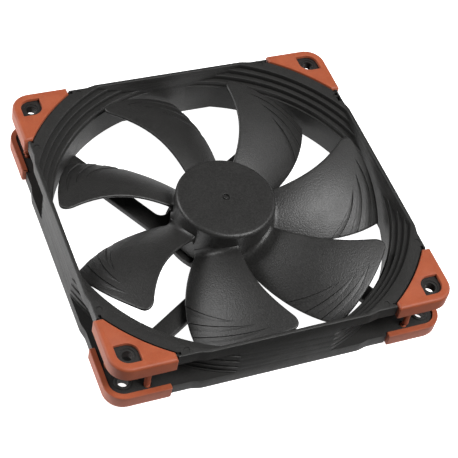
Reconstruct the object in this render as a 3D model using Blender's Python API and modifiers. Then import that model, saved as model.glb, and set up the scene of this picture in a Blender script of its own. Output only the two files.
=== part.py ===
"""A 140 mm case fan: square ducted frame, seven-blade impeller, brushless motor, soft corner pads.

Metres, +Z up. The origin is on the fan's axis, in the plane of the rear pads, and air goes in at
the top and out at the bottom. Run it with: blender --background --python part.py
"""
import math

import bmesh
import bpy
from mathutils import Matrix, Vector

MM = 0.001
GAP = 0.3 * MM  # between pieces that touch
EASE = 0.2 * MM  # keeps two cuts off one plane

# Overall
FAN_SIDE = 140.0 * MM  # across opposite pads
FAN_DEPTH = 25.0 * MM  # front pads to rear pads
HOLE_INSET = 7.75 * MM  # screw hole to the pads' outer faces, so 124.5 mm between holes
HOLE_RADIUS = 2.15 * MM

# Frame
SIDE_SINK = 0.6 * MM  # side wall behind the pads' outer faces
FACE_SINK = 0.4 * MM  # front and rear faces behind the pads' faces
SIDE_WALL = 1.6 * MM
FLANGE_THICK = 5.2 * MM
WAIST_SINK = 0.9 * MM  # how far the side drops back beside a pad
WAIST_LENGTH = 8.0 * MM
WAIST_RAMP = 4.0 * MM
DUCT_RELIEF = 0.4 * MM  # duct radius beyond the inside of the side walls
DUCT_WALL = 3.9 * MM
STEP_COUNT = 4
STEP_TREAD = 2.0 * MM
STEP_LIP = 0.8 * MM  # last tread, next to the duct
STEP_DROP = 2.1 * MM
LAND_WIDTH = 5.5 * MM  # flat ring between the first step and a pad
OUTLET_FLARE = 3.3 * MM

# Motor base and struts
BASE_MARGIN = 2.2 * MM  # base beyond the hub
BASE_THICK = 2.6 * MM
STRUT_COUNT = 4
STRUT_WIDTH = 8.0 * MM
STRUT_THICK = 3.2 * MM
STRUT_EDGE = 0.3 * MM  # its outer edge beyond the hub's side
STRUT_TURN = math.radians(120.8)  # direction of the first strut
STRUT_LIFT = 0.2 * MM  # above the rear face
LEAD_CHANNEL = 3.0 * MM  # width of the wire channel under one strut
LEAD_DEPTH = 1.8 * MM
LEAD_STRUT = 3
OUTLET_SLOT = 3.2 * MM
OUTLET_BACK = 5.2 * MM  # its middle before the pad's end
CLIP_WIDTH = 1.4 * MM
CLIP_LENGTH = 6.6 * MM
CLIP_TAB = 1.0 * MM

# Pads
PAD_PLATE = 1.3 * MM
PAD_WALL = 2.2 * MM
PAD_HEIGHT = 6.5 * MM
PAD_CORNER = 8.0 * MM
PAD_TIP = 3.4 * MM  # width of a leg's end
PAD_ROUND = 1.0 * MM
WINDOW = 8.6 * MM
WINDOW_ROUND = 4.5 * MM
PEG_RADIUS = 1.3 * MM
PEG_INSET = 4.7 * MM  # peg's axis to the pad's outer face
PEG_SHARE = 0.66  # place along the leg, from its end to the window
PEG_STUB = 0.4 * MM  # rear pegs past the flange
PEG_SPACE = 0.6 * MM  # between the ends of a front and a rear peg

# Impeller
BLADES = 7
HUB_RADIUS = 20.4 * MM
HUB_WALL = 1.6 * MM
HUB_SINK = 2.0 * MM  # cap below the front pads
HUB_CAP = 2.4 * MM
HUB_ROUND = 1.6 * MM
HUB_CLEAR = 0.6 * MM  # skirt above the motor base
DIMPLE_RADIUS = 1.7 * MM
DIMPLE_DEPTH = 0.8 * MM
NUB_RADIUS = 0.7 * MM
NUB_HEIGHT = 0.5 * MM
TIP_GAP = 1.3 * MM  # blade tip to side wall
BLADE_THICK = 1.3 * MM
BLADE_FOOT = 2.75 * MM  # trailing edge above the struts
BLADE_HEAD = 2.2 * MM  # highest point below the front pads
BLADE_CAMBER = 2.0 * MM
TIP_ROUND = 5.0 * MM  # leading corner of the tip
LEAD_TURN = (10.5, 4.1, 13.2, 19.4)  # leading edge, degrees, Bezier from root to tip
TRAIL_TURN = (-36.4, -29.0, -23.8, -14.8)
LEAD_RISE = (0.55, 0.88, 1.03, 1.0)  # height as a share of the blade's, the same way
TRAIL_RISE = (0.0, 0.0, 0.04, 0.1)

# Motor
YOKE_GAP = 0.4 * MM
YOKE_WALL = 1.0 * MM
YOKE_LIFT = 1.4 * MM  # rim above the hub's skirt
MAGNET_WALL = 1.8 * MM
MAGNET_LIFT = 1.0 * MM
MAGNET_DROP = 2.2 * MM
AIR_GAP = 0.6 * MM
SHAFT_RADIUS = 1.5 * MM
SHAFT_END = 0.3 * MM  # foot above the thrust pad
GROOVE_RADIUS = 1.0 * MM
GROOVE_HEIGHT = 1.0 * MM
GROOVE_LIFT = 0.4 * MM
BUSH_WALL = 1.8 * MM
BUSH_LENGTH = 3.6 * MM
TUBE_BORE = 3.6 * MM
TUBE_WALL = 1.0 * MM
CAP_HEIGHT = 0.8 * MM
CAP_SPACE = 0.5 * MM  # bearing cap to the turning bush
SLINGER_HEIGHT = 0.6 * MM
THRUST_HEIGHT = 0.4 * MM
CLIP_RING = 0.3 * MM
BOARD_LIFT = 0.4 * MM
BOARD_THICK = 1.2 * MM
BOARD_EDGE = 1.8 * MM  # inside the hub's skirt
COIL_LIFT = 1.3 * MM  # above the board, room for its parts
COIL_DROP = 2.1 * MM  # below the yoke's plate
COIL_WIRE = 1.0 * MM
COIL_SIDE = 2.0 * MM
BOBBIN_THICK = 1.0 * MM
POLES = 4
POLE_WIDTH = 4.4 * MM
CORE_RING = 1.8 * MM
SHOE_THICK = 1.7 * MM
SHOE_SPAN = math.radians(70.0)
LABEL_SINK = 0.5 * MM
LABEL_THICK = 0.2 * MM
LABEL_EDGE = 3.0 * MM  # label's recess inside the base's edge

# Facets
ROUND_DUCT = 64
ROUND_HUB = 42
ROUND_SMALL = 20
ARC_STEPS = 6

# Levels and sizes that follow
PAD_FACE = FAN_SIDE / 2
SIDE_FACE = PAD_FACE - SIDE_SINK
SIDE_INNER = SIDE_FACE - SIDE_WALL
DUCT_RADIUS = SIDE_INNER + DUCT_RELIEF
DUCT_OUTER = DUCT_RADIUS + DUCT_WALL
STEP_RADIUS = DUCT_RADIUS + STEP_LIP + STEP_TREAD * (STEP_COUNT - 1)
PAD_ARC = STEP_RADIUS + LAND_WIDTH
PAD_END = math.sqrt(PAD_ARC**2 - (PAD_FACE - PAD_TIP) ** 2)
PAD_INNER = PAD_FACE - PAD_WALL
FLANGE_FACE = PAD_INNER - GAP
HOLE_PLACE = PAD_FACE - HOLE_INSET
FRAME_LOW = FACE_SINK
FRAME_HIGH = FAN_DEPTH - FACE_SINK
FLANGE_TOP = FRAME_LOW + FLANGE_THICK
SEAT = PAD_PLATE + GAP  # frame's face under a pad, from the pad's face
BASE_TOP = FRAME_LOW + BASE_THICK
BASE_RADIUS = HUB_RADIUS + BASE_MARGIN
STRUT_TOP = FRAME_LOW + STRUT_LIFT + STRUT_THICK
STRUT_OFFSET = HUB_RADIUS + STRUT_EDGE - STRUT_WIDTH / 2  # centre line to the axis
HUB_TOP = FAN_DEPTH - HUB_SINK
CAP_UNDER = HUB_TOP - HUB_CAP
SKIRT_LOW = BASE_TOP + HUB_CLEAR
SKIRT_INNER = HUB_RADIUS - HUB_WALL
TIP_RADIUS = SIDE_INNER - TIP_GAP
FOOT = STRUT_TOP + BLADE_FOOT
BLADE_HEIGHT = FAN_DEPTH - BLADE_HEAD - FOOT
YOKE_OUTER = SKIRT_INNER - YOKE_GAP
YOKE_TOP = CAP_UNDER - YOKE_GAP
YOKE_UNDER = YOKE_TOP - YOKE_WALL
YOKE_LOW = SKIRT_LOW + YOKE_LIFT
MAGNET_OUTER = YOKE_OUTER - YOKE_WALL - GAP
MAGNET_INNER = MAGNET_OUTER - MAGNET_WALL
CORE_OUTER = MAGNET_INNER - AIR_GAP
SHOE_INNER = CORE_OUTER - SHOE_THICK
BUSH_INNER = SHAFT_RADIUS + GAP
BUSH_OUTER = BUSH_INNER + BUSH_WALL
BUSH_LOW = YOKE_TOP - BUSH_LENGTH
TUBE_OUTER = TUBE_BORE + TUBE_WALL
CAP_TOP = BUSH_LOW - CAP_SPACE
TUBE_TOP = CAP_TOP - CAP_HEIGHT - GAP
TUBE_LOW = BASE_TOP + GAP
THRUST_TOP = TUBE_LOW + THRUST_HEIGHT
SHAFT_LOW = THRUST_TOP + SHAFT_END
GROOVE_LOW = SHAFT_LOW + GROOVE_LIFT
CLIP_LOW = GROOVE_LOW + (GROOVE_HEIGHT - CLIP_RING) / 2
SLEEVE_LOW = GROOVE_LOW + GROOVE_HEIGHT + GAP
SLINGER_TOP = TUBE_TOP
SLEEVE_TOP = SLINGER_TOP - SLINGER_HEIGHT - 2 * GAP
BOARD_LOW = BASE_TOP + BOARD_LIFT
BOARD_TOP = BOARD_LOW + BOARD_THICK
BOARD_OUTER = SKIRT_INNER - BOARD_EDGE
COIL_LOW = BOARD_TOP + COIL_LIFT
COIL_TOP = YOKE_UNDER - COIL_DROP
BOBBIN_LOW = COIL_LOW + COIL_WIRE + GAP
BOBBIN_TOP = COIL_TOP - COIL_WIRE - GAP
CORE_LOW = BOBBIN_LOW + BOBBIN_THICK + GAP
CORE_TOP = BOBBIN_TOP - BOBBIN_THICK - GAP
CORE_INNER = TUBE_OUTER + GAP
CORE_HUB = CORE_INNER + CORE_RING
COIL_BORE = POLE_WIDTH / 2 + GAP
COIL_EDGE = COIL_BORE + COIL_SIDE
COIL_INNER = CORE_HUB + GAP
COIL_OUTER = math.sqrt((SHOE_INNER - GAP) ** 2 - COIL_EDGE**2)
EPS = 1.0 * MM  # how far a cutter stands out of what it cuts


def clearScene():
    for obj in list(bpy.data.objects):
        bpy.data.objects.remove(obj, do_unlink=True)
    for group in list(bpy.data.collections):
        bpy.data.collections.remove(group)


def makeCollection(name):
    group = bpy.data.collections.new(name)
    bpy.context.scene.collection.children.link(group)
    return group


def makeMaterial(name, colour, roughness, metallic=0.0):
    mat = bpy.data.materials.new(name)
    mat.use_nodes = True
    shader = mat.node_tree.nodes["Principled BSDF"]
    shader.inputs["Base Color"].default_value = (*colour, 1.0)
    shader.inputs["Roughness"].default_value = roughness
    shader.inputs["Metallic"].default_value = metallic
    mat.diffuse_color = (*colour, 1.0)
    return mat


def place(obj, group, material=None):
    group.objects.link(obj)
    if material:
        obj.data.materials.append(material)
    return obj


def asCutter(obj):
    obj.hide_render = True
    obj.display_type = "WIRE"
    return obj


def smooth(obj, degrees=32.0):
    obj.data.shade_smooth()
    obj.data.set_sharp_from_angle(angle=math.radians(degrees))
    return obj


def boolean(obj, other, operation="DIFFERENCE"):
    mod = obj.modifiers.new(other.name, "BOOLEAN")
    mod.object = other
    mod.operation = operation
    mod.solver = "EXACT"


def arc(cx, cy, radius, start, end, steps=ARC_STEPS):
    """Points on a round stretch, both ends included."""
    turns = [start + (end - start) * i / steps for i in range(steps + 1)]
    return [(cx + radius * math.cos(t), cy + radius * math.sin(t)) for t in turns]


def turnPoints(points, turn):
    c, s = math.cos(turn), math.sin(turn)
    return [(c * x - s * y, s * x + c * y) for x, y in points]


def bezier(values, t):
    a, b, c, d = values
    u = 1.0 - t
    return a * u**3 + 3 * b * u * u * t + 3 * c * u * t * t + d * t**3


def slab(name, outlines, low, high, group, material=None):
    """A flat piece: closed outlines, filled between them, from low to high."""
    curve = bpy.data.curves.new(name, "CURVE")
    curve.dimensions = "2D"
    curve.fill_mode = "BOTH"
    curve.extrude = (high - low) / 2
    for outline in outlines:
        spline = curve.splines.new("POLY")
        spline.points.add(len(outline) - 1)
        for point, (x, y) in zip(spline.points, outline):
            point.co = (x, y, 0.0, 1.0)
        spline.use_cyclic_u = True
    guide = bpy.data.objects.new(name + "_outline", curve)
    guide.location.z = (low + high) / 2
    group.objects.link(guide)
    bpy.context.view_layer.update()
    mesh = bpy.data.meshes.new_from_object(guide.evaluated_get(bpy.context.evaluated_depsgraph_get()))
    bm = bmesh.new()
    bm.from_mesh(mesh)
    bmesh.ops.remove_doubles(bm, verts=bm.verts, dist=0.00001)
    bmesh.ops.dissolve_limit(bm, angle_limit=math.radians(0.5), verts=bm.verts, edges=bm.edges)
    bmesh.ops.recalc_face_normals(bm, faces=bm.faces)
    bm.to_mesh(mesh)
    bm.free()
    obj = bpy.data.objects.new(name, mesh)
    obj.matrix_world = guide.matrix_world
    bpy.data.objects.remove(guide)
    return place(obj, group, material)


def box(name, low, high, group, turn=0.0):
    """A block between two corners, then turned about the fan's axis."""
    bm = bmesh.new()
    bmesh.ops.create_cube(bm, size=1.0)
    size = Vector(high) - Vector(low)
    middle = (Vector(high) + Vector(low)) / 2
    bmesh.ops.scale(bm, vec=size, verts=bm.verts)
    bmesh.ops.translate(bm, vec=middle, verts=bm.verts)
    mesh = bpy.data.meshes.new(name)
    bm.to_mesh(mesh)
    bm.free()
    obj = bpy.data.objects.new(name, mesh)
    obj.rotation_euler.z = turn
    return place(obj, group)


def rod(name, x, y, radius, low, high, group, steps=ROUND_SMALL):
    bm = bmesh.new()
    bmesh.ops.create_cone(bm, cap_ends=True, segments=steps, radius1=radius, radius2=radius, depth=high - low)
    bmesh.ops.translate(bm, vec=(x, y, (low + high) / 2), verts=bm.verts)
    mesh = bpy.data.meshes.new(name)
    bm.to_mesh(mesh)
    bm.free()
    return place(bpy.data.objects.new(name, mesh), group)


def turned(name, profile, group, material=None, steps=ROUND_SMALL, closed=False):
    """A turned piece. The profile runs down its outer side; an open one starts and ends on the axis."""
    mesh = bpy.data.meshes.new(name)
    count = len(profile)
    edges = [(i, i + 1) for i in range(count - 1)]
    if closed:
        edges.append((count - 1, 0))
    mesh.from_pydata([(r, 0.0, z) for r, z in profile], edges, [])
    obj = bpy.data.objects.new(name, mesh)
    screw = obj.modifiers.new("turn", "SCREW")
    screw.axis = "Z"
    screw.steps = steps
    screw.render_steps = steps
    screw.use_merge_vertices = True
    screw.merge_threshold = 0.00001
    screw.use_smooth_shade = False
    return place(obj, group, material)


def ring(name, inner, outer, low, high, group, material=None, steps=ROUND_SMALL):
    profile = [(outer, high), (outer, low), (inner, low), (inner, high)]
    return turned(name, profile, group, material, steps, closed=True)


# Frame

def cornerOutline():
    """What is taken off a square corner: the waist beside a pad, and the seat for its walls."""
    far = PAD_FACE + EPS
    end = PAD_END - GAP
    waist = end - WAIST_LENGTH
    low_face = SIDE_FACE - WAIST_SINK
    radius = PAD_CORNER - PAD_WALL - GAP
    middle = FLANGE_FACE - radius
    ramp = (SIDE_FACE + WAIST_SINK, waist - 2 * WAIST_RAMP)
    half = [(far, ramp[1]), ramp, (low_face, waist), (low_face, end), (FLANGE_FACE, end)]
    mirrored = [(y, x) for x, y in reversed(half)]
    return half + arc(middle, middle, radius, 0.0, math.pi / 2) + mirrored + [(far, far)]


def cavityOutline():
    """The open corner between the flanges, outside the round duct."""
    far = PAD_FACE + EPS
    reach = math.acos((SIDE_FACE + EASE) / DUCT_OUTER)
    stop = math.pi / 2 - reach
    points = arc(0.0, 0.0, DUCT_OUTER, stop, reach, ROUND_DUCT // 6)
    return points + [(far, points[-1][1]), (far, far), (points[0][0], far)]


def boreCutter(group):
    """Stepped inlet, duct and flared outlet, held inside the four side walls."""
    profile = [(0.0, FRAME_HIGH + EPS), (STEP_RADIUS, FRAME_HIGH + EPS)]
    radius, height = STEP_RADIUS, FRAME_HIGH
    for _ in range(STEP_COUNT - 1):
        height -= STEP_DROP
        profile += [(radius, height), (radius - STEP_TREAD, height)]
        radius -= STEP_TREAD
    height -= STEP_DROP
    profile += [(radius, height), (DUCT_RADIUS, height)]
    profile += [(DUCT_RADIUS, FRAME_LOW + OUTLET_FLARE), (DUCT_RADIUS + OUTLET_FLARE, FRAME_LOW)]
    profile += [(DUCT_RADIUS + OUTLET_FLARE, FRAME_LOW - EPS), (0.0, FRAME_LOW - EPS)]
    cutter = asCutter(turned("bore", profile, group, steps=ROUND_DUCT))
    reach = SIDE_INNER
    sides = box("bore_sides", (-reach, -reach, -EPS), (reach, reach, FAN_DEPTH + EPS), group)
    boolean(cutter, asCutter(sides), "INTERSECT")
    return cutter


def strutOutline(k):
    """A straight bar beside the axis, its inner end round the motor base."""
    near = STRUT_OFFSET - STRUT_WIDTH / 2
    far = STRUT_OFFSET + STRUT_WIDTH / 2
    inner = HUB_RADIUS + HUB_CLEAR + GAP
    outer = DUCT_RADIUS + OUTLET_FLARE + 2 * GAP
    start, end = math.asin(near / inner), math.asin(far / inner)
    points = [(math.sqrt(outer**2 - y**2), y) for y in (near, far)]
    points += arc(0.0, 0.0, inner, end, start, 4)
    return turnPoints(points, STRUT_TURN + k * 2 * math.pi / STRUT_COUNT)


def makeFrame(group, cutters, plastic):
    low, high = (-SIDE_FACE, -SIDE_FACE, FRAME_LOW), (SIDE_FACE, SIDE_FACE, FRAME_HIGH)
    frame = box("fan_frame", low, high, group)
    frame.data.materials.append(plastic)
    for k in range(4):
        outline = turnPoints(cornerOutline(), k * math.pi / 2)
        corner = slab("corner_%d" % (k + 1), [outline], -EPS, FAN_DEPTH + EPS, cutters)
        boolean(frame, asCutter(corner))
        outline = turnPoints(cavityOutline(), k * math.pi / 2)
        high = FRAME_HIGH - FLANGE_THICK
        cavity = slab("cavity_%d" % (k + 1), [outline], FLANGE_TOP, high, cutters)
        boolean(frame, asCutter(cavity))
    boolean(frame, boreCutter(cutters))
    label = BASE_RADIUS - LABEL_EDGE
    edge = BASE_THICK / 4
    profile = [(0.0, BASE_TOP), (BASE_RADIUS - edge, BASE_TOP), (BASE_RADIUS, BASE_TOP - edge)]
    profile += [(BASE_RADIUS, FRAME_LOW), (label, FRAME_LOW)]
    profile += [(label, FRAME_LOW + LABEL_SINK), (0.0, FRAME_LOW + LABEL_SINK)]
    base = asCutter(turned("motor_base", profile, cutters, steps=ROUND_HUB))
    for k in range(STRUT_COUNT):
        outline = strutOutline(k)
        strut = slab("strut_%d" % (k + 1), [outline], FRAME_LOW + STRUT_LIFT, STRUT_TOP, cutters)
        boolean(base, asCutter(strut), "UNION")
    boolean(frame, base, "UNION")
    cutFrame(frame, cutters)
    return smooth(frame)


def cutFrame(frame, cutters):
    """Seats, holes and the wire's way out."""
    far = PAD_FACE + EPS
    end = PAD_END - GAP - EASE
    edge = PAD_ARC - GAP
    turn = math.asin(end / edge)
    seat = arc(0.0, 0.0, edge, turn, math.pi / 2 - turn) + [(end, far), (far, far), (far, end)]
    for k in range(4):
        outline = turnPoints(seat, k * math.pi / 2)
        for name, low, high in (
            ("rear_seat", -EPS, SEAT),
            ("front_seat", FAN_DEPTH - SEAT, FAN_DEPTH + EPS),
        ):
            boolean(frame, asCutter(slab("%s_%d" % (name, k + 1), [outline], low, high, cutters)))
        holes = [(HOLE_PLACE, HOLE_PLACE, HOLE_RADIUS)]
        holes += [(x, y, PEG_RADIUS + GAP) for x, y in pegPlaces()]
        for i, (x, y, radius) in enumerate(holes):
            (px, py), = turnPoints([(x, y)], k * math.pi / 2)
            name = "hole_%d_%d" % (k + 1, i + 1)
            hole = rod(name, px, py, radius, -EPS, FAN_DEPTH + EPS, cutters, 16)
            boolean(frame, asCutter(hole))
    start = math.sqrt((BASE_RADIUS - LABEL_EDGE) ** 2 - STRUT_OFFSET**2) - EPS
    stop = math.sqrt(DUCT_RADIUS**2 - STRUT_OFFSET**2)
    side = LEAD_CHANNEL / 2
    low = (start, STRUT_OFFSET - side, -EPS)
    high = (stop, STRUT_OFFSET + side, FRAME_LOW + LEAD_DEPTH)
    turn = STRUT_TURN + LEAD_STRUT * 2 * math.pi / STRUT_COUNT
    boolean(frame, asCutter(box("lead_channel", low, high, cutters, turn)))
    side = OUTLET_SLOT / 2
    middle = PAD_END - OUTLET_BACK
    low = (math.sqrt(DUCT_RADIUS**2 - middle**2), middle - side, -EPS)
    high = (PAD_FACE + EPS, middle + side, FRAME_LOW + LEAD_DEPTH)
    boolean(frame, asCutter(box("lead_outlet", low, high, cutters)))
    high_face = SIDE_FACE - WAIST_SINK
    inner = high_face - 2 * GAP - CLIP_WIDTH
    top = PAD_END - 2 * GAP
    middle = top - CLIP_LENGTH / 2
    under = FRAME_HIGH - FLANGE_THICK
    for name, y0, y1, z1 in (
        ("clip_slot_1", top - CLIP_LENGTH, middle - CLIP_TAB / 2, FRAME_HIGH + EPS),
        ("clip_slot_2", middle + CLIP_TAB / 2, top, FRAME_HIGH + EPS),
    ):
        slot = box(name, (inner, y0, under - EPS), (inner + CLIP_WIDTH, y1, z1), cutters)
        boolean(frame, asCutter(slot))


# Pads

def pegPlaces():
    window = HOLE_PLACE - WINDOW / 2
    along = PAD_END + (window - PAD_END) * PEG_SHARE
    across = PAD_FACE - PEG_INSET
    return [(across, along), (along, across)]


def padOutline():
    middle = PAD_FACE - PAD_CORNER
    tip = PAD_FACE - PAD_TIP
    turn = math.atan2(PAD_END, tip)
    points = [(PAD_FACE, PAD_END)] + arc(middle, middle, PAD_CORNER, 0.0, math.pi / 2)
    points += [(PAD_END, PAD_FACE)]
    return points + arc(0.0, 0.0, PAD_ARC, math.pi / 2 - turn, turn, 8)


def padHollow():
    radius = PAD_CORNER - PAD_WALL
    middle = PAD_INNER - radius
    return [(0.0, 0.0), (PAD_INNER, 0.0)] + arc(middle, middle, radius, 0.0, math.pi / 2) + [(0.0, PAD_INNER)]


def windowOutline():
    """A square with the corners towards and away from the axis rounded."""
    half = WINDOW / 2
    low, high = HOLE_PLACE - half, HOLE_PLACE + half
    near, far = high - WINDOW_ROUND, low + WINDOW_ROUND
    points = [(high, low)] + arc(near, near, WINDOW_ROUND, 0.0, math.pi / 2, 5)
    return points + [(low, high)] + arc(far, far, WINDOW_ROUND, math.pi, math.pi * 1.5, 5)


def makePadMesh(name, pegEnd, group, cutters):
    """A pad at the +X +Y corner of the front face. Its pegs hang down to pegEnd."""
    low = FAN_DEPTH - PAD_HEIGHT
    pad = slab(name, [padOutline()], low, FAN_DEPTH, group)
    soften = pad.modifiers.new("edge", "BEVEL")
    soften.width = PAD_ROUND
    soften.segments = 2
    soften.limit_method = "WEIGHT"
    weights = pad.data.attributes.new("bevel_weight_edge", "FLOAT", "EDGE")
    for edge in pad.data.edges:
        ends = [pad.matrix_world @ pad.data.vertices[i].co for i in edge.vertices]
        on_top = all(end.z > FAN_DEPTH - GAP for end in ends)
        outside = all(max(end.x, end.y) > PAD_FACE - PAD_CORNER for end in ends)
        beyond = all(end.xy.length > PAD_ARC + GAP for end in ends)
        if on_top and outside and beyond:
            weights.data[edge.index].value = 1.0
    hollow = slab(name + "_hollow", [padHollow()], low - EPS, FAN_DEPTH - PAD_PLATE, cutters)
    boolean(pad, asCutter(hollow))
    window = slab(name + "_window", [windowOutline()], low - EPS, FAN_DEPTH + EPS, cutters)
    boolean(pad, asCutter(window))
    for i, (x, y) in enumerate(pegPlaces()):
        peg = rod("%s_peg_%d" % (name, i + 1), x, y, PEG_RADIUS, pegEnd, FAN_DEPTH - PAD_PLATE / 2, cutters, 10)
        boolean(pad, asCutter(peg), "UNION")
    return pad


def makePads(group, cutters, rubber):
    """Four front pads, then four rear ones turned over about their own diagonals."""
    rear_end = FLANGE_TOP + PEG_STUB
    front = makePadMesh("front_pad_1", rear_end + PEG_SPACE, group, cutters)
    rear = makePadMesh("rear_pad_1", FAN_DEPTH - rear_end, group, cutters)
    graph = bpy.context.evaluated_depsgraph_get()
    over = Matrix.Translation((0, 0, FAN_DEPTH / 2))
    over = over @ Matrix.Rotation(math.pi, 4, Vector((1, 1, 0)).normalized()) @ over.inverted()
    for pad, flip in ((front, Matrix.Identity(4)), (rear, over)):
        mesh = bpy.data.meshes.new_from_object(pad.evaluated_get(graph))
        mesh.transform(pad.matrix_world)
        mesh.materials.clear()
        mesh.materials.append(rubber)
        pad.modifiers.clear()
        pad.data = mesh
        for k in range(4):
            name = pad.name[:-1] + str(k + 1)
            piece = pad if k == 0 else place(bpy.data.objects.new(name, mesh), group)
            piece.matrix_world = Matrix.Rotation(k * math.pi / 2, 4, "Z") @ flip


# Impeller

def bladePoint(along, across):
    """A point of the blade's middle surface: along the span 0 to 1, across the chord 0 to 1."""
    root = HUB_RADIUS - HUB_WALL / 2
    radius = root + (TIP_RADIUS - root) * along
    span = (radius - HUB_RADIUS) / (TIP_RADIUS - HUB_RADIUS)
    lead = math.radians(bezier(LEAD_TURN, span))
    trail = math.radians(bezier(TRAIL_TURN, span))
    top = FOOT + BLADE_HEIGHT * bezier(LEAD_RISE, span)
    bottom = FOOT + BLADE_HEIGHT * bezier(TRAIL_RISE, span)
    chord = math.hypot(radius * (lead - trail), top - bottom)
    past = min(max(0.0, radius - (TIP_RADIUS - TIP_ROUND)), TIP_ROUND)
    cut = (TIP_ROUND - math.sqrt(TIP_ROUND**2 - past**2)) / chord
    share = cut + (1.0 - cut) * across
    turn = lead + (trail - lead) * share
    height = top + (bottom - top) * share + BLADE_CAMBER * 4 * share * (1 - share)
    return Vector((radius * math.cos(turn), radius * math.sin(turn), height))


def makeBlade(k, group):
    rows, columns = 8, 6
    bm = bmesh.new()
    bmesh.ops.create_grid(bm, x_segments=rows, y_segments=columns, size=0.5)
    spin = Matrix.Rotation(k * 2 * math.pi / BLADES, 3, "Z")
    for vert in bm.verts:
        along, across = vert.co.x + 0.5, vert.co.y + 0.5
        along = 1.0 - (1.0 - along) ** 1.3
        vert.co = spin @ bladePoint(along, across)
    bmesh.ops.recalc_face_normals(bm, faces=bm.faces)
    mesh = bpy.data.meshes.new("blade_%d" % (k + 1))
    bm.to_mesh(mesh)
    bm.free()
    blade = place(bpy.data.objects.new(mesh.name, mesh), group)
    shell = blade.modifiers.new("thickness", "SOLIDIFY")
    shell.thickness = BLADE_THICK
    shell.offset = 0.0
    return asCutter(blade)


def makeImpeller(group, cutters, plastic):
    top = HUB_TOP
    profile = [(0.0, top - DIMPLE_DEPTH + NUB_HEIGHT), (NUB_RADIUS, top - DIMPLE_DEPTH + NUB_HEIGHT)]
    profile += [(NUB_RADIUS, top - DIMPLE_DEPTH), (DIMPLE_RADIUS, top - DIMPLE_DEPTH), (DIMPLE_RADIUS, top)]
    rim = arc(HUB_RADIUS - HUB_ROUND, top - HUB_ROUND, HUB_ROUND, math.pi / 2, 0.0, 3)
    profile += rim + [(HUB_RADIUS, SKIRT_LOW), (SKIRT_INNER, SKIRT_LOW)]
    profile += [(SKIRT_INNER, CAP_UNDER), (0.0, CAP_UNDER)]
    hub = turned("impeller", profile, group, plastic, ROUND_HUB)
    for k in range(BLADES):
        boolean(hub, makeBlade(k, cutters), "UNION")
    return hub


# Motor

def makeRotor(group, steel, magnet, brass, shaftSteel):
    hole = BUSH_OUTER + GAP
    profile = [(hole, YOKE_TOP), (YOKE_OUTER, YOKE_TOP), (YOKE_OUTER, YOKE_LOW)]
    profile += [(YOKE_OUTER - YOKE_WALL, YOKE_LOW), (YOKE_OUTER - YOKE_WALL, YOKE_UNDER), (hole, YOKE_UNDER)]
    turned("rotor_yoke", profile, group, steel, 32, closed=True)
    low, high = YOKE_LOW + MAGNET_LIFT, YOKE_UNDER - MAGNET_DROP
    ring("magnet_ring", MAGNET_INNER, MAGNET_OUTER, low, high, group, magnet, 32)
    ring("rotor_bush", BUSH_INNER, BUSH_OUTER, BUSH_LOW, YOKE_TOP, group, brass, 16)
    groove_top = GROOVE_LOW + GROOVE_HEIGHT
    profile = [(0.0, YOKE_TOP), (SHAFT_RADIUS, YOKE_TOP), (SHAFT_RADIUS, groove_top)]
    profile += [(GROOVE_RADIUS, groove_top), (GROOVE_RADIUS, GROOVE_LOW), (SHAFT_RADIUS, GROOVE_LOW)]
    profile += [(SHAFT_RADIUS, SHAFT_LOW), (0.0, SHAFT_LOW)]
    turned("motor_shaft", profile, group, shaftSteel, 14)


def makeBearing(group, brass, bronze, plastic, steel):
    inner = SHAFT_RADIUS + GAP
    loose = TUBE_BORE - GAP
    ring("bearing_tube", TUBE_BORE, TUBE_OUTER, TUBE_LOW, TUBE_TOP, group, brass)
    ring("bearing_sleeve", inner, loose, SLEEVE_LOW, SLEEVE_TOP, group, bronze, 16)
    ring("slinger_ring", inner, loose, SLINGER_TOP - SLINGER_HEIGHT, SLINGER_TOP, group, plastic, 16)
    ring("bearing_cap", inner + GAP, TUBE_OUTER, CAP_TOP - CAP_HEIGHT, CAP_TOP, group, plastic)
    ring("retaining_clip", GROOVE_RADIUS + GAP, loose, CLIP_LOW, CLIP_LOW + CLIP_RING, group, steel, 16)
    profile = [(0.0, THRUST_TOP), (loose, THRUST_TOP), (loose, TUBE_LOW), (0.0, TUBE_LOW)]
    turned("thrust_pad", profile, group, plastic, 16)


def crossOutline(width, hub, reach):
    """Arms from a round middle, one for each pole."""
    start = math.asin(width / 2 / hub)
    points = []
    for k in range(POLES):
        arm = [(reach, -width / 2), (reach, width / 2)]
        arm += arc(0.0, 0.0, hub, start, 2 * math.pi / POLES - start, 4)
        points += turnPoints(arm, k * 2 * math.pi / POLES)
    return points


def coreOutline():
    """The same arms, each ending in a curved shoe."""
    half = POLE_WIDTH / 2
    start = math.asin(half / CORE_HUB)
    neck = math.asin(half / SHOE_INNER)
    points = []
    for k in range(POLES):
        arm = arc(0.0, 0.0, SHOE_INNER, -neck, -SHOE_SPAN / 2, 3)
        arm += arc(0.0, 0.0, CORE_OUTER, -SHOE_SPAN / 2, SHOE_SPAN / 2, 8)
        arm += arc(0.0, 0.0, SHOE_INNER, SHOE_SPAN / 2, neck, 3)
        arm += arc(0.0, 0.0, CORE_HUB, start, 2 * math.pi / POLES - start, 4)
        points += turnPoints(arm, k * 2 * math.pi / POLES)
    return points


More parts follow.
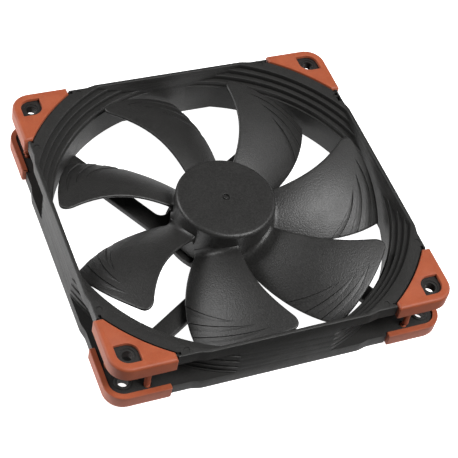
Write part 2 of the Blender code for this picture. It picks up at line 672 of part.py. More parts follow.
def makeStator(group, iron, nylon, copper):
    full = 2 * math.pi
    bore = arc(0.0, 0.0, CORE_INNER, 0.0, full - full / ROUND_SMALL, ROUND_SMALL - 1)
    slab("stator_core", [coreOutline(), bore], CORE_LOW, CORE_TOP, group, iron)
    reach = SHOE_INNER
    cross = crossOutline(POLE_WIDTH, CORE_HUB, reach)
    slab("bobbin_lower", [cross, bore], BOBBIN_LOW, BOBBIN_LOW + BOBBIN_THICK, group, nylon)
    slab("bobbin_upper", [cross, bore], BOBBIN_TOP - BOBBIN_THICK, BOBBIN_TOP, group, nylon)
    for k in range(POLES):
        makeCoil(k, group, copper)


def makeCoil(k, group, copper):
    """A rounded loop round one arm, extruded outwards along it."""
    side = COIL_EDGE
    tall = (COIL_TOP - COIL_LOW) / 2
    inner = tall - COIL_WIRE
    radius = COIL_SIDE / 2
    outer = []
    for i, (sx, sy) in enumerate(((1, 1), (-1, 1), (-1, -1), (1, -1))):
        cx, cy = sx * (side - radius), sy * (tall - radius)
        outer += arc(cx, cy, radius, i * math.pi / 2, (i + 1) * math.pi / 2, 3)
    hole = [(COIL_BORE, inner), (-COIL_BORE, inner), (-COIL_BORE, -inner), (COIL_BORE, -inner)]
    coil = slab("coil_%d" % (k + 1), [outer, hole], COIL_INNER, COIL_OUTER, group, copper)
    stand = Matrix.Rotation(math.pi / 2, 4, "Z") @ Matrix.Rotation(math.pi / 2, 4, "X")
    lift = Matrix.Translation((0, 0, (COIL_LOW + COIL_TOP) / 2))
    turn = Matrix.Rotation(k * 2 * math.pi / POLES, 4, "Z")
    coil.matrix_world = turn @ lift @ stand @ coil.matrix_world


def makeBoard(group, board, chip, metal, labelPaper):
    inner = TUBE_OUTER + GAP
    ring("circuit_board", inner, BOARD_OUTER, BOARD_LOW, BOARD_TOP, group, board, 32)
    low = BOARD_TOP + GAP
    between = math.pi / POLES
    top = low + COIL_LIFT
    pieces = (
        ("hall_sensor", 4.4 * MM, between, (1.6, 3.0), top - low, chip),
        ("driver_chip", 6.4 * MM, between + math.pi / 2, (3.6, 4.8), 0.7 * MM, chip),
        ("filter_capacitor", 6.0 * MM, between + math.pi, (2.4, 1.4), 0.7 * MM, metal),
        ("lead_terminal", 5.0 * MM, between - math.pi / 2, (2.0, 5.2), 0.7 * MM, metal),
    )
    for name, inset, turn, (deep, wide), tall, material in pieces:
        radius = BOARD_OUTER - inset
        low_corner = (radius - deep * MM / 2, -wide * MM / 2, low)
        high_corner = (radius + deep * MM / 2, wide * MM / 2, low + tall)
        piece = box(name, low_corner, high_corner, group, turn)
        piece.data.materials.append(material)
    label = BASE_RADIUS - LABEL_EDGE - GAP
    top = FRAME_LOW + LABEL_SINK - GAP
    profile = [(0.0, top), (label, top), (label, top - LABEL_THICK), (0.0, top - LABEL_THICK)]
    turned("rear_label", profile, group, labelPaper, 32)


def main():
    clearScene()
    group = makeCollection("case_fan")
    cutters = makeCollection("cutters")
    black = makeMaterial("frame_plastic", (0.045, 0.045, 0.045), 0.6)
    blade = makeMaterial("impeller_plastic", (0.05, 0.05, 0.05), 0.45)
    rubber = makeMaterial("pad_rubber", (0.62, 0.22, 0.09), 0.6)
    steel = makeMaterial("yoke_steel", (0.5, 0.5, 0.5), 0.4, 1.0)
    magnet = makeMaterial("magnet_ferrite", (0.08, 0.08, 0.08), 0.7)
    brass = makeMaterial("brass", (0.72, 0.55, 0.25), 0.35, 1.0)
    bronze = makeMaterial("bearing_bronze", (0.55, 0.36, 0.2), 0.45, 1.0)
    polished = makeMaterial("shaft_steel", (0.65, 0.65, 0.66), 0.2, 1.0)
    nylon = makeMaterial("bobbin_nylon", (0.8, 0.78, 0.7), 0.5)
    iron = makeMaterial("core_iron", (0.35, 0.35, 0.36), 0.5, 1.0)
    copper = makeMaterial("coil_copper", (0.7, 0.3, 0.12), 0.3, 1.0)
    board = makeMaterial("board_green", (0.05, 0.25, 0.1), 0.4)
    chip = makeMaterial("chip_black", (0.03, 0.03, 0.03), 0.5)
    tin = makeMaterial("tin_plate", (0.7, 0.7, 0.7), 0.3, 1.0)
    paper = makeMaterial("label_paper", (0.1, 0.1, 0.1), 0.5)
    makeFrame(group, cutters, black)
    makePads(group, cutters, rubber)
    makeImpeller(group, cutters, blade)
    makeRotor(group, steel, magnet, brass, polished)
    makeBearing(group, brass, bronze, nylon, steel)
    makeStator(group, iron, nylon, copper)
    makeBoard(group, board, chip, tin, paper)


main()
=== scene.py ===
import math

import bmesh
import bpy
from mathutils import Matrix, Vector


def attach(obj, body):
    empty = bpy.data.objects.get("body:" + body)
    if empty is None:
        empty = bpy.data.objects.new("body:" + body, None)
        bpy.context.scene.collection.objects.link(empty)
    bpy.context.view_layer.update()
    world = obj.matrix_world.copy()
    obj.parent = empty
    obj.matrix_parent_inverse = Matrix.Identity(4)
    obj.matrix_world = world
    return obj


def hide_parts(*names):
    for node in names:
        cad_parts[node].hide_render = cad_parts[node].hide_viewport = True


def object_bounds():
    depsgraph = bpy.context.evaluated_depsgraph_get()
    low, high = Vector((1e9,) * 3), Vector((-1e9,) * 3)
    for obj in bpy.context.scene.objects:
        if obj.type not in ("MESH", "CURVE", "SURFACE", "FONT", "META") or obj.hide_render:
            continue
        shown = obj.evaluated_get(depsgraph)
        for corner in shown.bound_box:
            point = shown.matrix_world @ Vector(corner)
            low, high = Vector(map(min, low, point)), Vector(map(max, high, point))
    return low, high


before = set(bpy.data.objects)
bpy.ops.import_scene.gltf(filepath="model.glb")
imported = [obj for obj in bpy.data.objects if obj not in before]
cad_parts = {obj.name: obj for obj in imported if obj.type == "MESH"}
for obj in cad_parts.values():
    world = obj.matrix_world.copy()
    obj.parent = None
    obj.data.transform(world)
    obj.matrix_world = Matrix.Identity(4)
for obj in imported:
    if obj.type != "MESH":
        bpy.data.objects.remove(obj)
cadBox = [list(corner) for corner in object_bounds()]
print("case fan: packed frame loaded")

mm = 0.001
quarter = math.pi / 2
beyond = 75.0  # millimetres from the axis, past every outer face


# Camera, paper floor and soft lights. Places are in metres here, from the hub's axis.

view = {
    "lens": 112.33,
    "sensor": 36.0,
    "place": (-0.19413, -0.32403, 0.44917),
    "lookFrom": (-0.33873, -0.55142, 0.76236),
    "roll": 13.785,  # degrees
}
studio = {
    "floorSize": 9.0,
    "floorColour": 0.9,
    "paintedShadowColour": 0.1,  # painted shadow on the paper in front of the fan
    "floorGlow": 1.05,  # the paper is lit from below, as on a light table
    "backGlow": 0.7,  # what the fan sees of it
    "shadeEdge": (-0.078, -0.064),  # where the painted shadow ends, in front of the fan
    "lights": {  # direction and height in degrees, distance, size, power
        "keyLight": (-50, 58, 2.6, 1.3, 66.0),
        "leftLight": (140, 33, 2.8, 1.6, 50.0),
        "rightLight": (5, 34, 3.0, 1.6, 12.0),
    },
    "skyStrength": 0.1,
}


def setCamera():
    lens = bpy.data.cameras.new("studioCamera")
    lens.lens, lens.sensor_width = view["lens"], view["sensor"]
    lens.clip_start, lens.clip_end = 0.05, 50.0
    camera = bpy.data.objects.new("studioCamera", lens)
    back = Vector(view["lookFrom"]).normalized()
    across = Vector((0, 0, 1)).cross(back).normalized()
    up = back.cross(across)
    turn = math.radians(view["roll"])
    side = across * math.cos(turn) + up * math.sin(turn)
    rise = up * math.cos(turn) - across * math.sin(turn)
    stand = Matrix((side, rise, back)).transposed().to_4x4()
    stand.translation = Vector(view["place"])
    camera.matrix_world = stand
    bpy.context.scene.collection.objects.link(camera)
    bpy.context.scene.camera = camera


def softLight(name, heading, height, distance, size, power):
    out = math.cos(math.radians(height)) * distance
    place = (out * math.cos(math.radians(heading)), out * math.sin(math.radians(heading)))
    place = Vector((*place, math.sin(math.radians(height)) * distance))
    lamp = bpy.data.lights.new(name, "AREA")
    lamp.shape, lamp.size, lamp.energy = "DISK", size, power
    light = bpy.data.objects.new(name, lamp)
    light.location = place
    light.rotation_euler = place.to_track_quat("Z", "Y").to_euler()
    bpy.context.scene.collection.objects.link(light)


def setStudio():
    bm = bmesh.new()
    bmesh.ops.create_grid(bm, x_segments=1, y_segments=1, size=studio["floorSize"] / 2)
    mesh = bpy.data.meshes.new("studioFloor")
    bm.to_mesh(mesh)
    bm.free()
    floor = bpy.data.objects.new("studioFloor", mesh)
    floor.location.z = cadBox[0][2] - 0.05 * mm
    bpy.context.scene.collection.objects.link(floor)
    paper = bpy.data.materials.new("studioPaper")
    paper.use_nodes = True
    tree, shader = paper.node_tree, paper.node_tree.nodes["Principled BSDF"]
    shader.inputs["Roughness"].default_value = 0.9
    shader.inputs["Specular IOR Level"].default_value = 0.1
    shader.inputs["Emission Color"].default_value = (1, 1, 1, 1)
    # white to the camera; a painted shadow: to all other rays the paper in front of the fan is dark and
    # throws no light back
    place = tree.nodes.new("ShaderNodeSeparateXYZ")
    tree.links.new(spot(tree), place.inputs["Vector"])
    shade = ranged(tree, place.outputs["Y"], 0, 1, *studio["shadeEdge"])
    seen = tree.nodes.new("ShaderNodeLightPath").outputs["Is Camera Ray"]
    lit = largest(tree, seen, shade)
    dark, bright = (studio["paintedShadowColour"],) * 3, (studio["floorColour"],) * 3
    tree.links.new(blendTones(tree, lit, dark, bright), shader.inputs["Base Color"])
    toCamera = ranged(tree, seen, 0, studio["floorGlow"], 0, 1)
    toFan = ranged(tree, shade, 0, studio["backGlow"], 0, 1)
    tree.links.new(largest(tree, toCamera, toFan), shader.inputs["Emission Strength"])
    mesh.materials.append(paper)
    for name, light in studio["lights"].items():
        softLight(name, *light)
    sky = bpy.data.worlds.new("studioSky")
    sky.use_nodes = True
    backdrop = sky.node_tree.nodes["Background"]
    backdrop.inputs["Color"].default_value = (1, 1, 1, 1)
    backdrop.inputs["Strength"].default_value = studio["skyStrength"]
    bpy.context.scene.world = sky
    bpy.context.scene.view_settings.view_transform = "Standard"


# Finishes. Each is a shader with grain, tone and roughness from noise in the piece's own place.

def newFinish(name, roughness, metallic=0.0, **extra):
    finish = bpy.data.materials.new(name)
    finish.use_nodes = True
    shader = finish.node_tree.nodes["Principled BSDF"]
    for socket, value in (("Roughness", roughness), ("Metallic", metallic), *extra.items()):
        shader.inputs[socket.replace("_", " ")].default_value = value
    return finish, finish.node_tree, shader


def spot(tree, stretch=(1, 1, 1)):
    where = tree.nodes.new("ShaderNodeTexCoord")
    if stretch == (1, 1, 1):
        return where.outputs["Object"]
    scale = tree.nodes.new("ShaderNodeMapping")
    scale.inputs["Scale"].default_value = stretch
    tree.links.new(where.outputs["Object"], scale.inputs["Vector"])
    return scale.outputs["Vector"]


def noise(tree, size, detail=2.0, stretch=(1, 1, 1)):
    grain = tree.nodes.new("ShaderNodeTexNoise")
    grain.inputs["Scale"].default_value = 1 / size
    grain.inputs["Detail"].default_value = detail
    tree.links.new(spot(tree, stretch), grain.inputs["Vector"])
    return grain.outputs["Fac"]


def ranged(tree, value, low, high, start=0.3, stop=0.7):
    span = tree.nodes.new("ShaderNodeMapRange")
    for key, number in (("From Min", start), ("From Max", stop), ("To Min", low), ("To Max", high)):
        span.inputs[key].default_value = number
    tree.links.new(value, span.inputs["Value"])
    return span.outputs["Result"]


def blendTones(tree, share, first, second):
    mix = tree.nodes.new("ShaderNodeMix")
    mix.data_type = "RGBA"
    tree.links.new(share, mix.inputs["Factor"])
    for socket, tone in ((mix.inputs[6], first), (mix.inputs[7], second)):
        if isinstance(tone, tuple):
            socket.default_value = (*tone, 1)
        else:
            tree.links.new(tone, socket)
    return mix.outputs[2]


def raised(tree, height, depth, strength=1.0, under=None):
    bump = tree.nodes.new("ShaderNodeBump")
    bump.inputs["Distance"].default_value = depth
    bump.inputs["Strength"].default_value = strength
    tree.links.new(height, bump.inputs["Height"])
    if under:
        tree.links.new(under, bump.inputs["Normal"])
    return bump.outputs["Normal"]


def largest(tree, one, two):
    pick = tree.nodes.new("ShaderNodeMath")
    pick.operation = "MAXIMUM"
    tree.links.new(one, pick.inputs[0])
    tree.links.new(two, pick.inputs[1])
    return pick.outputs["Value"]


setCamera()
setStudio()
print("case fan: camera and studio ready")


def feed(tree, shader, tone=None, gloss=None, relief=None):
    for socket, value in (("Base Color", tone), ("Roughness", gloss), ("Normal", relief)):
        if value:
            tree.links.new(value, shader.inputs[socket])


def mouldedBlack(name, dark, light, rough, grainSize):
    # glass-filled plastic: two close tones, a fine grain and a slightly uneven gloss
    finish, tree, shader = newFinish(name, rough)
    speck = noise(tree, grainSize, 3)
    cloud = noise(tree, 14 * mm, 2)
    tone = blendTones(tree, ranged(tree, speck, 0, 1, 0.35, 0.72), dark, light)
    worn = tuple(1.25 * part for part in light)
    tone = blendTones(tree, ranged(tree, cloud, 0, 0.25, 0.45, 0.8), tone, worn)
    gloss = ranged(tree, noise(tree, 5 * mm, 3), rough - 0.02, rough + 0.03)
    coarse = raised(tree, cloud, 0.04 * mm, 0.12)
    feed(tree, shader, tone, gloss, raised(tree, speck, 0.12 * mm, 1.0, coarse))
    return finish


def castSilicone():
    # soft terracotta rubber, a little translucent, dusty on its faces
    finish, tree, shader = newFinish(
        "castSilicone", 0.52, Subsurface_Weight=0.12, Subsurface_Scale=1.0,
        Subsurface_Radius=(1.6 * mm, 0.6 * mm, 0.3 * mm), Sheen_Weight=0.12, Sheen_Roughness=0.5)
    cloud = noise(tree, 6 * mm, 3)
    fine = noise(tree, 0.45 * mm, 3)
    tone = blendTones(tree, ranged(tree, cloud, 0, 1), (0.33, 0.066, 0.021), (0.39, 0.084, 0.028))
    tone = blendTones(tree, ranged(tree, fine, 0, 0.5, 0.5, 0.8), tone, (0.45, 0.13, 0.056))
    feed(tree, shader, tone, ranged(tree, fine, 0.46, 0.62), raised(tree, fine, 0.03 * mm, 0.5))
    return finish


def turnedMetal(name, tone, rough, ringSize=0.18 * mm):
    # fine tool rings round the axis, and a faint tarnish
    finish, tree, shader = newFinish(name, rough, 1.0)
    tool = noise(tree, ringSize, 2, (0.04, 0.04, 1))
    stain = noise(tree, 2.5 * mm, 3)
    dull = tuple(0.7 * part for part in tone)
    shade = blendTones(tree, ranged(tree, stain, 0, 0.7, 0.4, 0.75), tone, dull)
    gloss = ranged(tree, stain, rough - 0.06, rough + 0.1)
    feed(tree, shader, shade, gloss, raised(tree, tool, 0.012 * mm, 0.6))
    return finish


def grained(name, rough, metallic, grain, dark, light, gloss=None, relief=None, span=(0.3, 0.7), **extra):
    # one noise gives tone, gloss and relief; grain is its size and detail, relief a depth and strength
    finish, tree, shader = newFinish(name, rough, metallic, **extra)
    size, detail = grain
    crumb = noise(tree, size * mm, detail)
    shade = blendTones(tree, ranged(tree, crumb, 0, 1, *span), dark, light)
    uneven = gloss and ranged(tree, crumb, *gloss)
    feed(tree, shader, shade, uneven, relief and raised(tree, crumb, relief[0] * mm, relief[1]))
    return finish


def naturalNylon():
    finish, tree, shader = newFinish(
        "naturalNylon", 0.45, Subsurface_Weight=0.2, Subsurface_Scale=1.0,
        Subsurface_Radius=(1 * mm, 1 * mm, 0.8 * mm))
    shade = blendTones(tree, ranged(tree, noise(tree, 3 * mm, 3), 0, 1), (0.74, 0.71, 0.6), (0.82, 0.8, 0.72))
    feed(tree, shader, shade, None, raised(tree, noise(tree, 0.4 * mm, 3), 0.02 * mm, 0.5))
    return finish


def coreSteel():
    # punched sheets: dark varnish, brighter cut edges along the stack
    finish, tree, shader = newFinish("coreSteel", 0.45, 0.9)
    streak = noise(tree, 0.35 * mm, 2, (0.15, 0.15, 1))
    rust = noise(tree, 2 * mm, 4)
    shade = blendTones(tree, ranged(tree, streak, 0, 1), (0.2, 0.2, 0.21), (0.42, 0.42, 0.43))
    shade = blendTones(tree, ranged(tree, rust, 0, 0.4, 0.6, 0.8), shade, (0.24, 0.13, 0.07))
    feed(tree, shader, shade, None, raised(tree, streak, 0.02 * mm, 0.7))
    return finish


def boardLacquer():
    # green lacquer over glass cloth, whose weave shows faintly
    finish, tree, shader = newFinish("boardLacquer", 0.3)
    weave = tree.nodes.new("ShaderNodeTexChecker")
    weave.inputs["Scale"].default_value = 1 / (0.5 * mm)
    tree.links.new(spot(tree), weave.inputs["Vector"])
    cloud = noise(tree, 3 * mm, 3)
    shade = blendTones(tree, ranged(tree, cloud, 0, 1), (0.012, 0.1, 0.04), (0.02, 0.15, 0.06))
    shade = blendTones(tree, ranged(tree, weave.outputs["Fac"], 0, 0.25, 0, 1), shade, (0.05, 0.22, 0.1))
    feed(tree, shader, shade, None, raised(tree, weave.outputs["Fac"], 0.01 * mm, 0.3))
    return finish


def printedFilm():
    # dark film with plain printed rings
    finish, tree, shader = newFinish("printedFilm", 0.32)
    apart = tree.nodes.new("ShaderNodeVectorMath")
    apart.operation = "LENGTH"
    tree.links.new(spot(tree, (1, 1, 0)), apart.inputs[0])
    bands = tree.nodes.new("ShaderNodeValToRGB")
    ramp = bands.color_ramp
    ramp.interpolation = "CONSTANT"
    span = 20 * mm
    marks = ((0.0, 0.03), (5.5, 0.2), (6.0, 0.03), (15.5, 0.3), (15.9, 0.03), (17.2, 0.3), (18.4, 0.03))
    while len(ramp.elements) < len(marks):
        ramp.elements.new(0.5)
    for point, (radius, tone) in zip(ramp.elements, marks):
        point.position = radius * mm / span
        point.color = (tone, tone, tone * 0.97, 1)
    tree.links.new(ranged(tree, apart.outputs["Value"], 0, 1, 0, span), bands.inputs["Fac"])
    fleck = noise(tree, 0.5 * mm, 3)
    relief = raised(tree, fleck, 0.01 * mm, 0.4)
    feed(tree, shader, bands.outputs["Color"], ranged(tree, fleck, 0.26, 0.4), relief)
    return finish


finishes = {
    "frame_plastic": mouldedBlack(
        "framePlastic", (0.012, 0.0117, 0.011), (0.024, 0.0232, 0.022), 0.5, 0.4 * mm),
    "impeller_plastic": mouldedBlack(
        "bladePlastic", (0.015, 0.0147, 0.0142), (0.031, 0.0303, 0.0293), 0.42, 0.6 * mm),
    "pad_rubber": castSilicone(),
    "yoke_steel": turnedMetal("platedSteel", (0.58, 0.58, 0.58), 0.32),
    "magnet_ferrite": grained(
        "bondedFerrite", 0.68, 0.0, (0.3, 4), (0.05, 0.05, 0.053), (0.12, 0.12, 0.125), relief=(0.03, 0.8)),
    "brass": turnedMetal("turnedBrass", (0.78, 0.58, 0.27), 0.28),
    "bearing_bronze": grained(
        "sinteredBronze", 0.5, 0.85, (0.22, 4), (0.2, 0.11, 0.06), (0.58, 0.38, 0.21),
        relief=(0.03, 0.9), span=(0.4, 0.6)),
    "shaft_steel": turnedMetal("groundSteel", (0.7, 0.7, 0.71), 0.16, 0.08 * mm),
    "bobbin_nylon": naturalNylon(),
    "core_steel": coreSteel(),
    "coil_copper": grained(
        "enamelledCopper", 0.28, 1.0, (1.8, 3), (0.66, 0.24, 0.08), (0.8, 0.36, 0.15),
        gloss=(0.22, 0.36), Coat_Weight=0.6, Coat_Roughness=0.12),
    "board_laminate": boardLacquer(),
    "chip_black": grained(
        "mouldedEpoxy", 0.5, 0.0, (0.15, 3), (0.018, 0.018, 0.02), (0.045, 0.045, 0.047),
        relief=(0.015, 0.6)),
    "tin_plate": grained(
        "tinPlate", 0.3, 1.0, (0.8, 3), (0.6, 0.6, 0.6), (0.78, 0.78, 0.77),
        gloss=(0.2, 0.42), relief=(0.03, 0.6)),
    "label_film": printedFilm(),
}
print("case fan: finishes mixed")


# Mesh helpers. Outlines and profiles are in millimetres; meshes come out in metres.

def meshOf(name, bm):
    bmesh.ops.recalc_face_normals(bm, faces=bm.faces)
    bmesh.ops.scale(bm, vec=(mm, mm, mm), verts=bm.verts)
    mesh = bpy.data.meshes.new(name)
    bm.to_mesh(mesh)
    bm.free()
    return mesh


def arc(middle, radius, start, stop, steps):
    turns = [start + (stop - start) * i / steps for i in range(steps + 1)]
    return [(middle[0] + radius * math.cos(t), middle[1] + radius * math.sin(t)) for t in turns]


def turnedBy(points, turn):
    c, s = math.cos(turn), math.sin(turn)
    return [(c * x - s * y, s * x + c * y, *rest) for x, y, *rest in points]


def eased(corners, closed=True, steps=4):
    # a corner with a third number is rounded to that radius
    points = []
    for i, corner in enumerate(corners):
        atEnd = not closed and i in (0, len(corners) - 1)
        if len(corner) < 3 or atEnd:
            points.append(tuple(corner[:2]))
            continue
        here, radius = Vector(corner[:2]), corner[2]
        before = (Vector(corners[i - 1][:2]) - here).normalized()
        after = (Vector(corners[(i + 1) % len(corners)][:2]) - here).normalized()
        half = before.angle(after) / 2
        middle = here + (before + after).normalized() * radius / math.sin(half)
        start = here + before * radius / math.tan(half) - middle
        stop = here + after * radius / math.tan(half) - middle
        first = math.atan2(start.y, start.x)
        sweep = (math.atan2(stop.y, stop.x) - first + math.pi) % (2 * math.pi) - math.pi
        points += arc(middle, radius, first, first + sweep, steps)
    return points


def inset(points, depth):
    # moves each side inwards; depth is one number or one for each side
    count = len(points)
    depths = depth if isinstance(depth, list) else [depth] * count
    turning = sum(points[i - 1][0] * points[i][1] - points[i][0] * points[i - 1][1] for i in range(count))
    inward = 1 if turning > 0 else -1
    moved = []
    for i in range(count):
        here, last, following = Vector(points[i]), Vector(points[i - 1]), Vector(points[(i + 1) % count])
        one, two = (here - last).normalized(), (following - here).normalized()
        normalOne, normalTwo = Vector((-one.y, one.x)) * inward, Vector((-two.y, two.x)) * inward
        dOne, dTwo = depths[i - 1], depths[i]
        crossing = normalOne.x * normalTwo.y - normalOne.y * normalTwo.x
        if abs(crossing) < 0.08:
            moved.append(tuple(here + (normalOne + normalTwo).normalized() * (dOne + dTwo) / 2))
            continue
        x = (dOne * normalTwo.y - dTwo * normalOne.y) / crossing
        y = (dTwo * normalOne.x - dOne * normalTwo.x) / crossing
        moved.append((here.x + x, here.y + y))
    return moved


def stacked(name, rings):
    # rings are (height, outline) from the bottom up, all with the same number of points
    bm = bmesh.new()
    rows = [[bm.verts.new((x, y, height)) for x, y in outline] for height, outline in rings]
    for low, high in zip(rows, rows[1:]):
        for i in range(len(low)):
            j = (i + 1) % len(low)
            bm.faces.new((low[i], low[j], high[j], high[i]))
    bm.faces.new(rows[0][::-1])
    bm.faces.new(rows[-1])
    return meshOf(name, bm)


def plate(name, outline, low, high, round=0.0, steps=3):
    # a flat piece whose upper and lower rims are rounded
    if not round:
        return stacked(name, [(low, outline), (high, outline)])
    rims = []
    for i in range(steps + 1):
        turn = quarter * i / steps
        rims.append((round * (1 - math.sin(turn)), inset(outline, round * (1 - math.cos(turn)))))
    rings = [(low + rise, ring) for rise, ring in reversed(rims)]
    return stacked(name, rings + [(high - rise, ring) for rise, ring in rims])


def lathe(name, profile, sides=96, closed=False, place=(0, 0)):
    # the profile runs down its outer side, from the axis to the axis unless it is closed
    bm = bmesh.new()
    rows = []
    for radius, height in profile:
        around = 1 if radius < 1e-6 else sides
        circle = [(radius * math.cos(t), radius * math.sin(t)) for t in
                  (2 * math.pi * i / around for i in range(around))]
        rows.append([bm.verts.new((place[0] + x, place[1] + y, height)) for x, y in circle])
    following = rows[1:] + rows[:1] if closed else rows[1:]
    for upper, lower in zip(rows, following):
        if len(upper) == 1 and len(lower) == 1:
            continue
        for i in range(sides):
            j = (i + 1) % sides
            if len(upper) == 1:
                bm.faces.new((upper[0], lower[i], lower[j]))
            elif len(lower) == 1:
                bm.faces.new((upper[i], lower[0], upper[j]))
            else:
                bm.faces.new((upper[i], lower[i], lower[j], upper[j]))
    return meshOf(name, bm)


def ringProfile(inner, outer, low, high, round=0.15):
    corners = [(outer, high, round), (outer, low, round), (inner, low, round), (inner, high, round)]
    return eased(corners, steps=3)


def block(name, low, high, turn=0.0):
    outline = [(low[0], low[1]), (high[0], low[1]), (high[0], high[1]), (low[0], high[1])]
    return plate(name, turnedBy(outline, turn), low[2], high[2])


def rod(name, place, radius, low, high, sides=32):
    profile = [(0, high), (radius, high), (radius, low), (0, low)]
    return lathe(name, profile, sides, place=place)


def together(name, meshes):
    bm = bmesh.new()
    for mesh in meshes:
        bm.from_mesh(mesh)
    joined = bpy.data.meshes.new(name)
    bm.to_mesh(joined)
    bm.free()
    return joined


def moved(mesh, matrix):
    mesh.transform(matrix)
    return mesh


def carve(mesh, tool, how="DIFFERENCE"):
    pair = [bpy.data.objects.new("carving", part) for part in (mesh, tool)]
    for part in pair:
        bpy.context.scene.collection.objects.link(part)
    cut = pair[0].modifiers.new("cut", "BOOLEAN")
    cut.object, cut.operation, cut.solver = pair[1], how, "EXACT"
    result = bpy.data.meshes.new_from_object(pair[0].evaluated_get(bpy.context.evaluated_depsgraph_get()))
    for part in pair:
        bpy.data.objects.remove(part)
    return result


def cleaned(mesh, reach=0.004):
    # welds the tiny slips that carving leaves, and joins flat neighbours
    bm = bmesh.new()
    bm.from_mesh(mesh)
    bmesh.ops.remove_doubles(bm, verts=bm.verts, dist=reach * mm)
    bmesh.ops.dissolve_degenerate(bm, dist=reach * mm, edges=bm.edges)
    bmesh.ops.holes_fill(bm, edges=[edge for edge in bm.edges if edge.is_boundary], sides=4)
    bm.to_mesh(mesh)
    bm.free()
    return mesh


def addPiece(name, mesh, body, slot, *nodes, crease=32.0):
    mesh.name = name
    mesh.materials.clear()
    mesh.materials.append(finishes[slot])
    mesh.shade_smooth()
    mesh.set_sharp_from_angle(angle=math.radians(crease))
    piece = bpy.data.objects.new(name, mesh)
    bpy.context.scene.collection.objects.link(piece)
    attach(piece, body)
    if nodes:
        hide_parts(*nodes)
    return piece


# Fan frame: a square ring with a stepped round inlet, open corners, struts and a motor base.

fanFrame = {
    "side": 69.4,  # flat outer face, from the axis
    "low": 0.4,
    "high": 24.6,
    "rim": 0.35,  # rounding of the outer edges
    "sideWall": 1.6,
    "waistStart": 32.9,
    "waistEnd": 36.9,
    "waistSink": 0.9,
    "padEnd": 44.9,  # where the seat for a pad begins, along the side
    "seatSide": 67.5,
    "seatRound": 5.5,
    "seatDepth": 1.2,  # below the frame's face
    "seatArc": 79.9,
    "flange": 5.2,
    "duct": 68.2,
    "ductOuter": 72.1,
    "treads": 3,
    "tread": 2.0,
    "drop": 2.1,
    "lip": 0.8,
    "stepRound": 0.22,
    "wallRound": 0.4,  # where the thin walls meet the faces
    "flare": 3.3,
    "louvres": (16.9, 13.3, 9.7, 6.9),  # heights of the grooves round the duct
    "louvreTall": 1.5,
    "louvreDeep": 1.1,
    "louvreStart": 19.2,  # along the side, where a groove begins
    "louvreTaper": 7.0,
    "hole": 62.25,
    "holeRadius": 2.15,
    "bossRadius": 3.2,
    "bossTall": 0.5,
    "holeSink": 0.9,  # the wider mouth round a screw hole
    "notchAt": 67.0,  # small notch past each end of a pad's inner edge
    "notchWide": 1.2,
    "notchLong": 1.5,
    "pegHole": 1.6,
    "pegAlong": 53.62,
    "pegAcross": 65.3,
    "ejectorPlaces": ((66.2, 41.0), (41.0, 66.2)),
    "ejectorRadius": 1.3,
    "ejectorSink": 0.3,
}
motorBase = {
    "radius": 22.6,
    "thick": 2.6,
    "rim": 0.5,
    "hubRoom": 21.3,  # struts stand clear of the turning hub by this radius
    "labelRadius": 19.6,
    "labelSink": 0.5,
    "struts": 4,
    "strutWide": 8.0,
    "strutLow": 0.6,
    "strutHigh": 3.8,
    "strutRound": 0.9,
    "strutOffset": 16.7,  # centre line to the axis
    "strutTurn": 120.8,
    "strutEnd": 72.1,
    "filletRadius": 3.2,
    "channelWide": 3.0,
    "channelDeep": 1.8,
    "channelStrut": 3,
    "outletWide": 3.2,
    "outletBack": 5.2,
    "clipAt": 66.4,  # inner side of the clip's slot
    "clipWide": 1.4,
    "clipLong": 6.6,
    "clipTab": 1.0,
    "clipEnd": 1.6,
}


def frameBlank():
    f = fanFrame
    waist = f["side"] - f["waistSink"]
    half = [(f["side"], f["waistStart"], 6.0), (waist, f["waistEnd"], 6.0), (waist, f["padEnd"])]
    half += [(f["seatSide"], f["padEnd"])]
    corner = half + [(f["seatSide"], f["seatSide"], f["seatRound"])]
    corner += [(y, x, *rest) for x, y, *rest in reversed(half)]
    outline = []
    for k in range(4):
        outline += turnedBy(corner, k * quarter)
    return plate("blank", eased(outline, steps=6), f["low"], f["high"], f["rim"])


def inletCutter():
    f = fanFrame
    easing, high = f["stepRound"], f["high"]

    def edge(radius, height):
        return arc((radius + easing, height - easing), easing, quarter, math.pi, 3)

    radius = f["duct"] + f["lip"] + f["tread"] * f["treads"]
    height = high
    profile = [(0, 30.0), (radius + easing, 30.0)] + edge(radius, height)
    for _ in range(f["treads"]):
        height -= f["drop"]
        radius -= f["tread"]
        profile += [(radius + f["tread"], height)] + edge(radius, height)
    height -= f["drop"]
    profile += [(radius, height)] + edge(f["duct"], height)
    profile += [(f["duct"], f["low"] + f["flare"]), (f["duct"] + f["flare"], f["low"])]
    profile += [(f["duct"] + f["flare"], -5.0), (0, -5.0)]
    bore = lathe("bore", profile, 240)
    reach, ease = f["side"] - f["sideWall"], f["wallRound"]
    square = [(-reach, -reach), (reach, -reach), (reach, reach), (-reach, reach)]
    turns = [quarter * i / 3 for i in (1, 2, 3)]
    curve = [(ease * (1 - math.cos(t)), ease * (1 - math.sin(t))) for t in turns]
    levels = [(-6.0, ease), (f["low"], ease)] + [(f["low"] + rise, grow) for rise, grow in curve]
    levels += [(high - rise, grow) for rise, grow in reversed(curve)] + [(high, ease), (31.0, ease)]
    walls = stacked("boreWalls", [(level, inset(square, -grow)) for level, grow in levels])
    return carve(bore, walls, "INTERSECT")


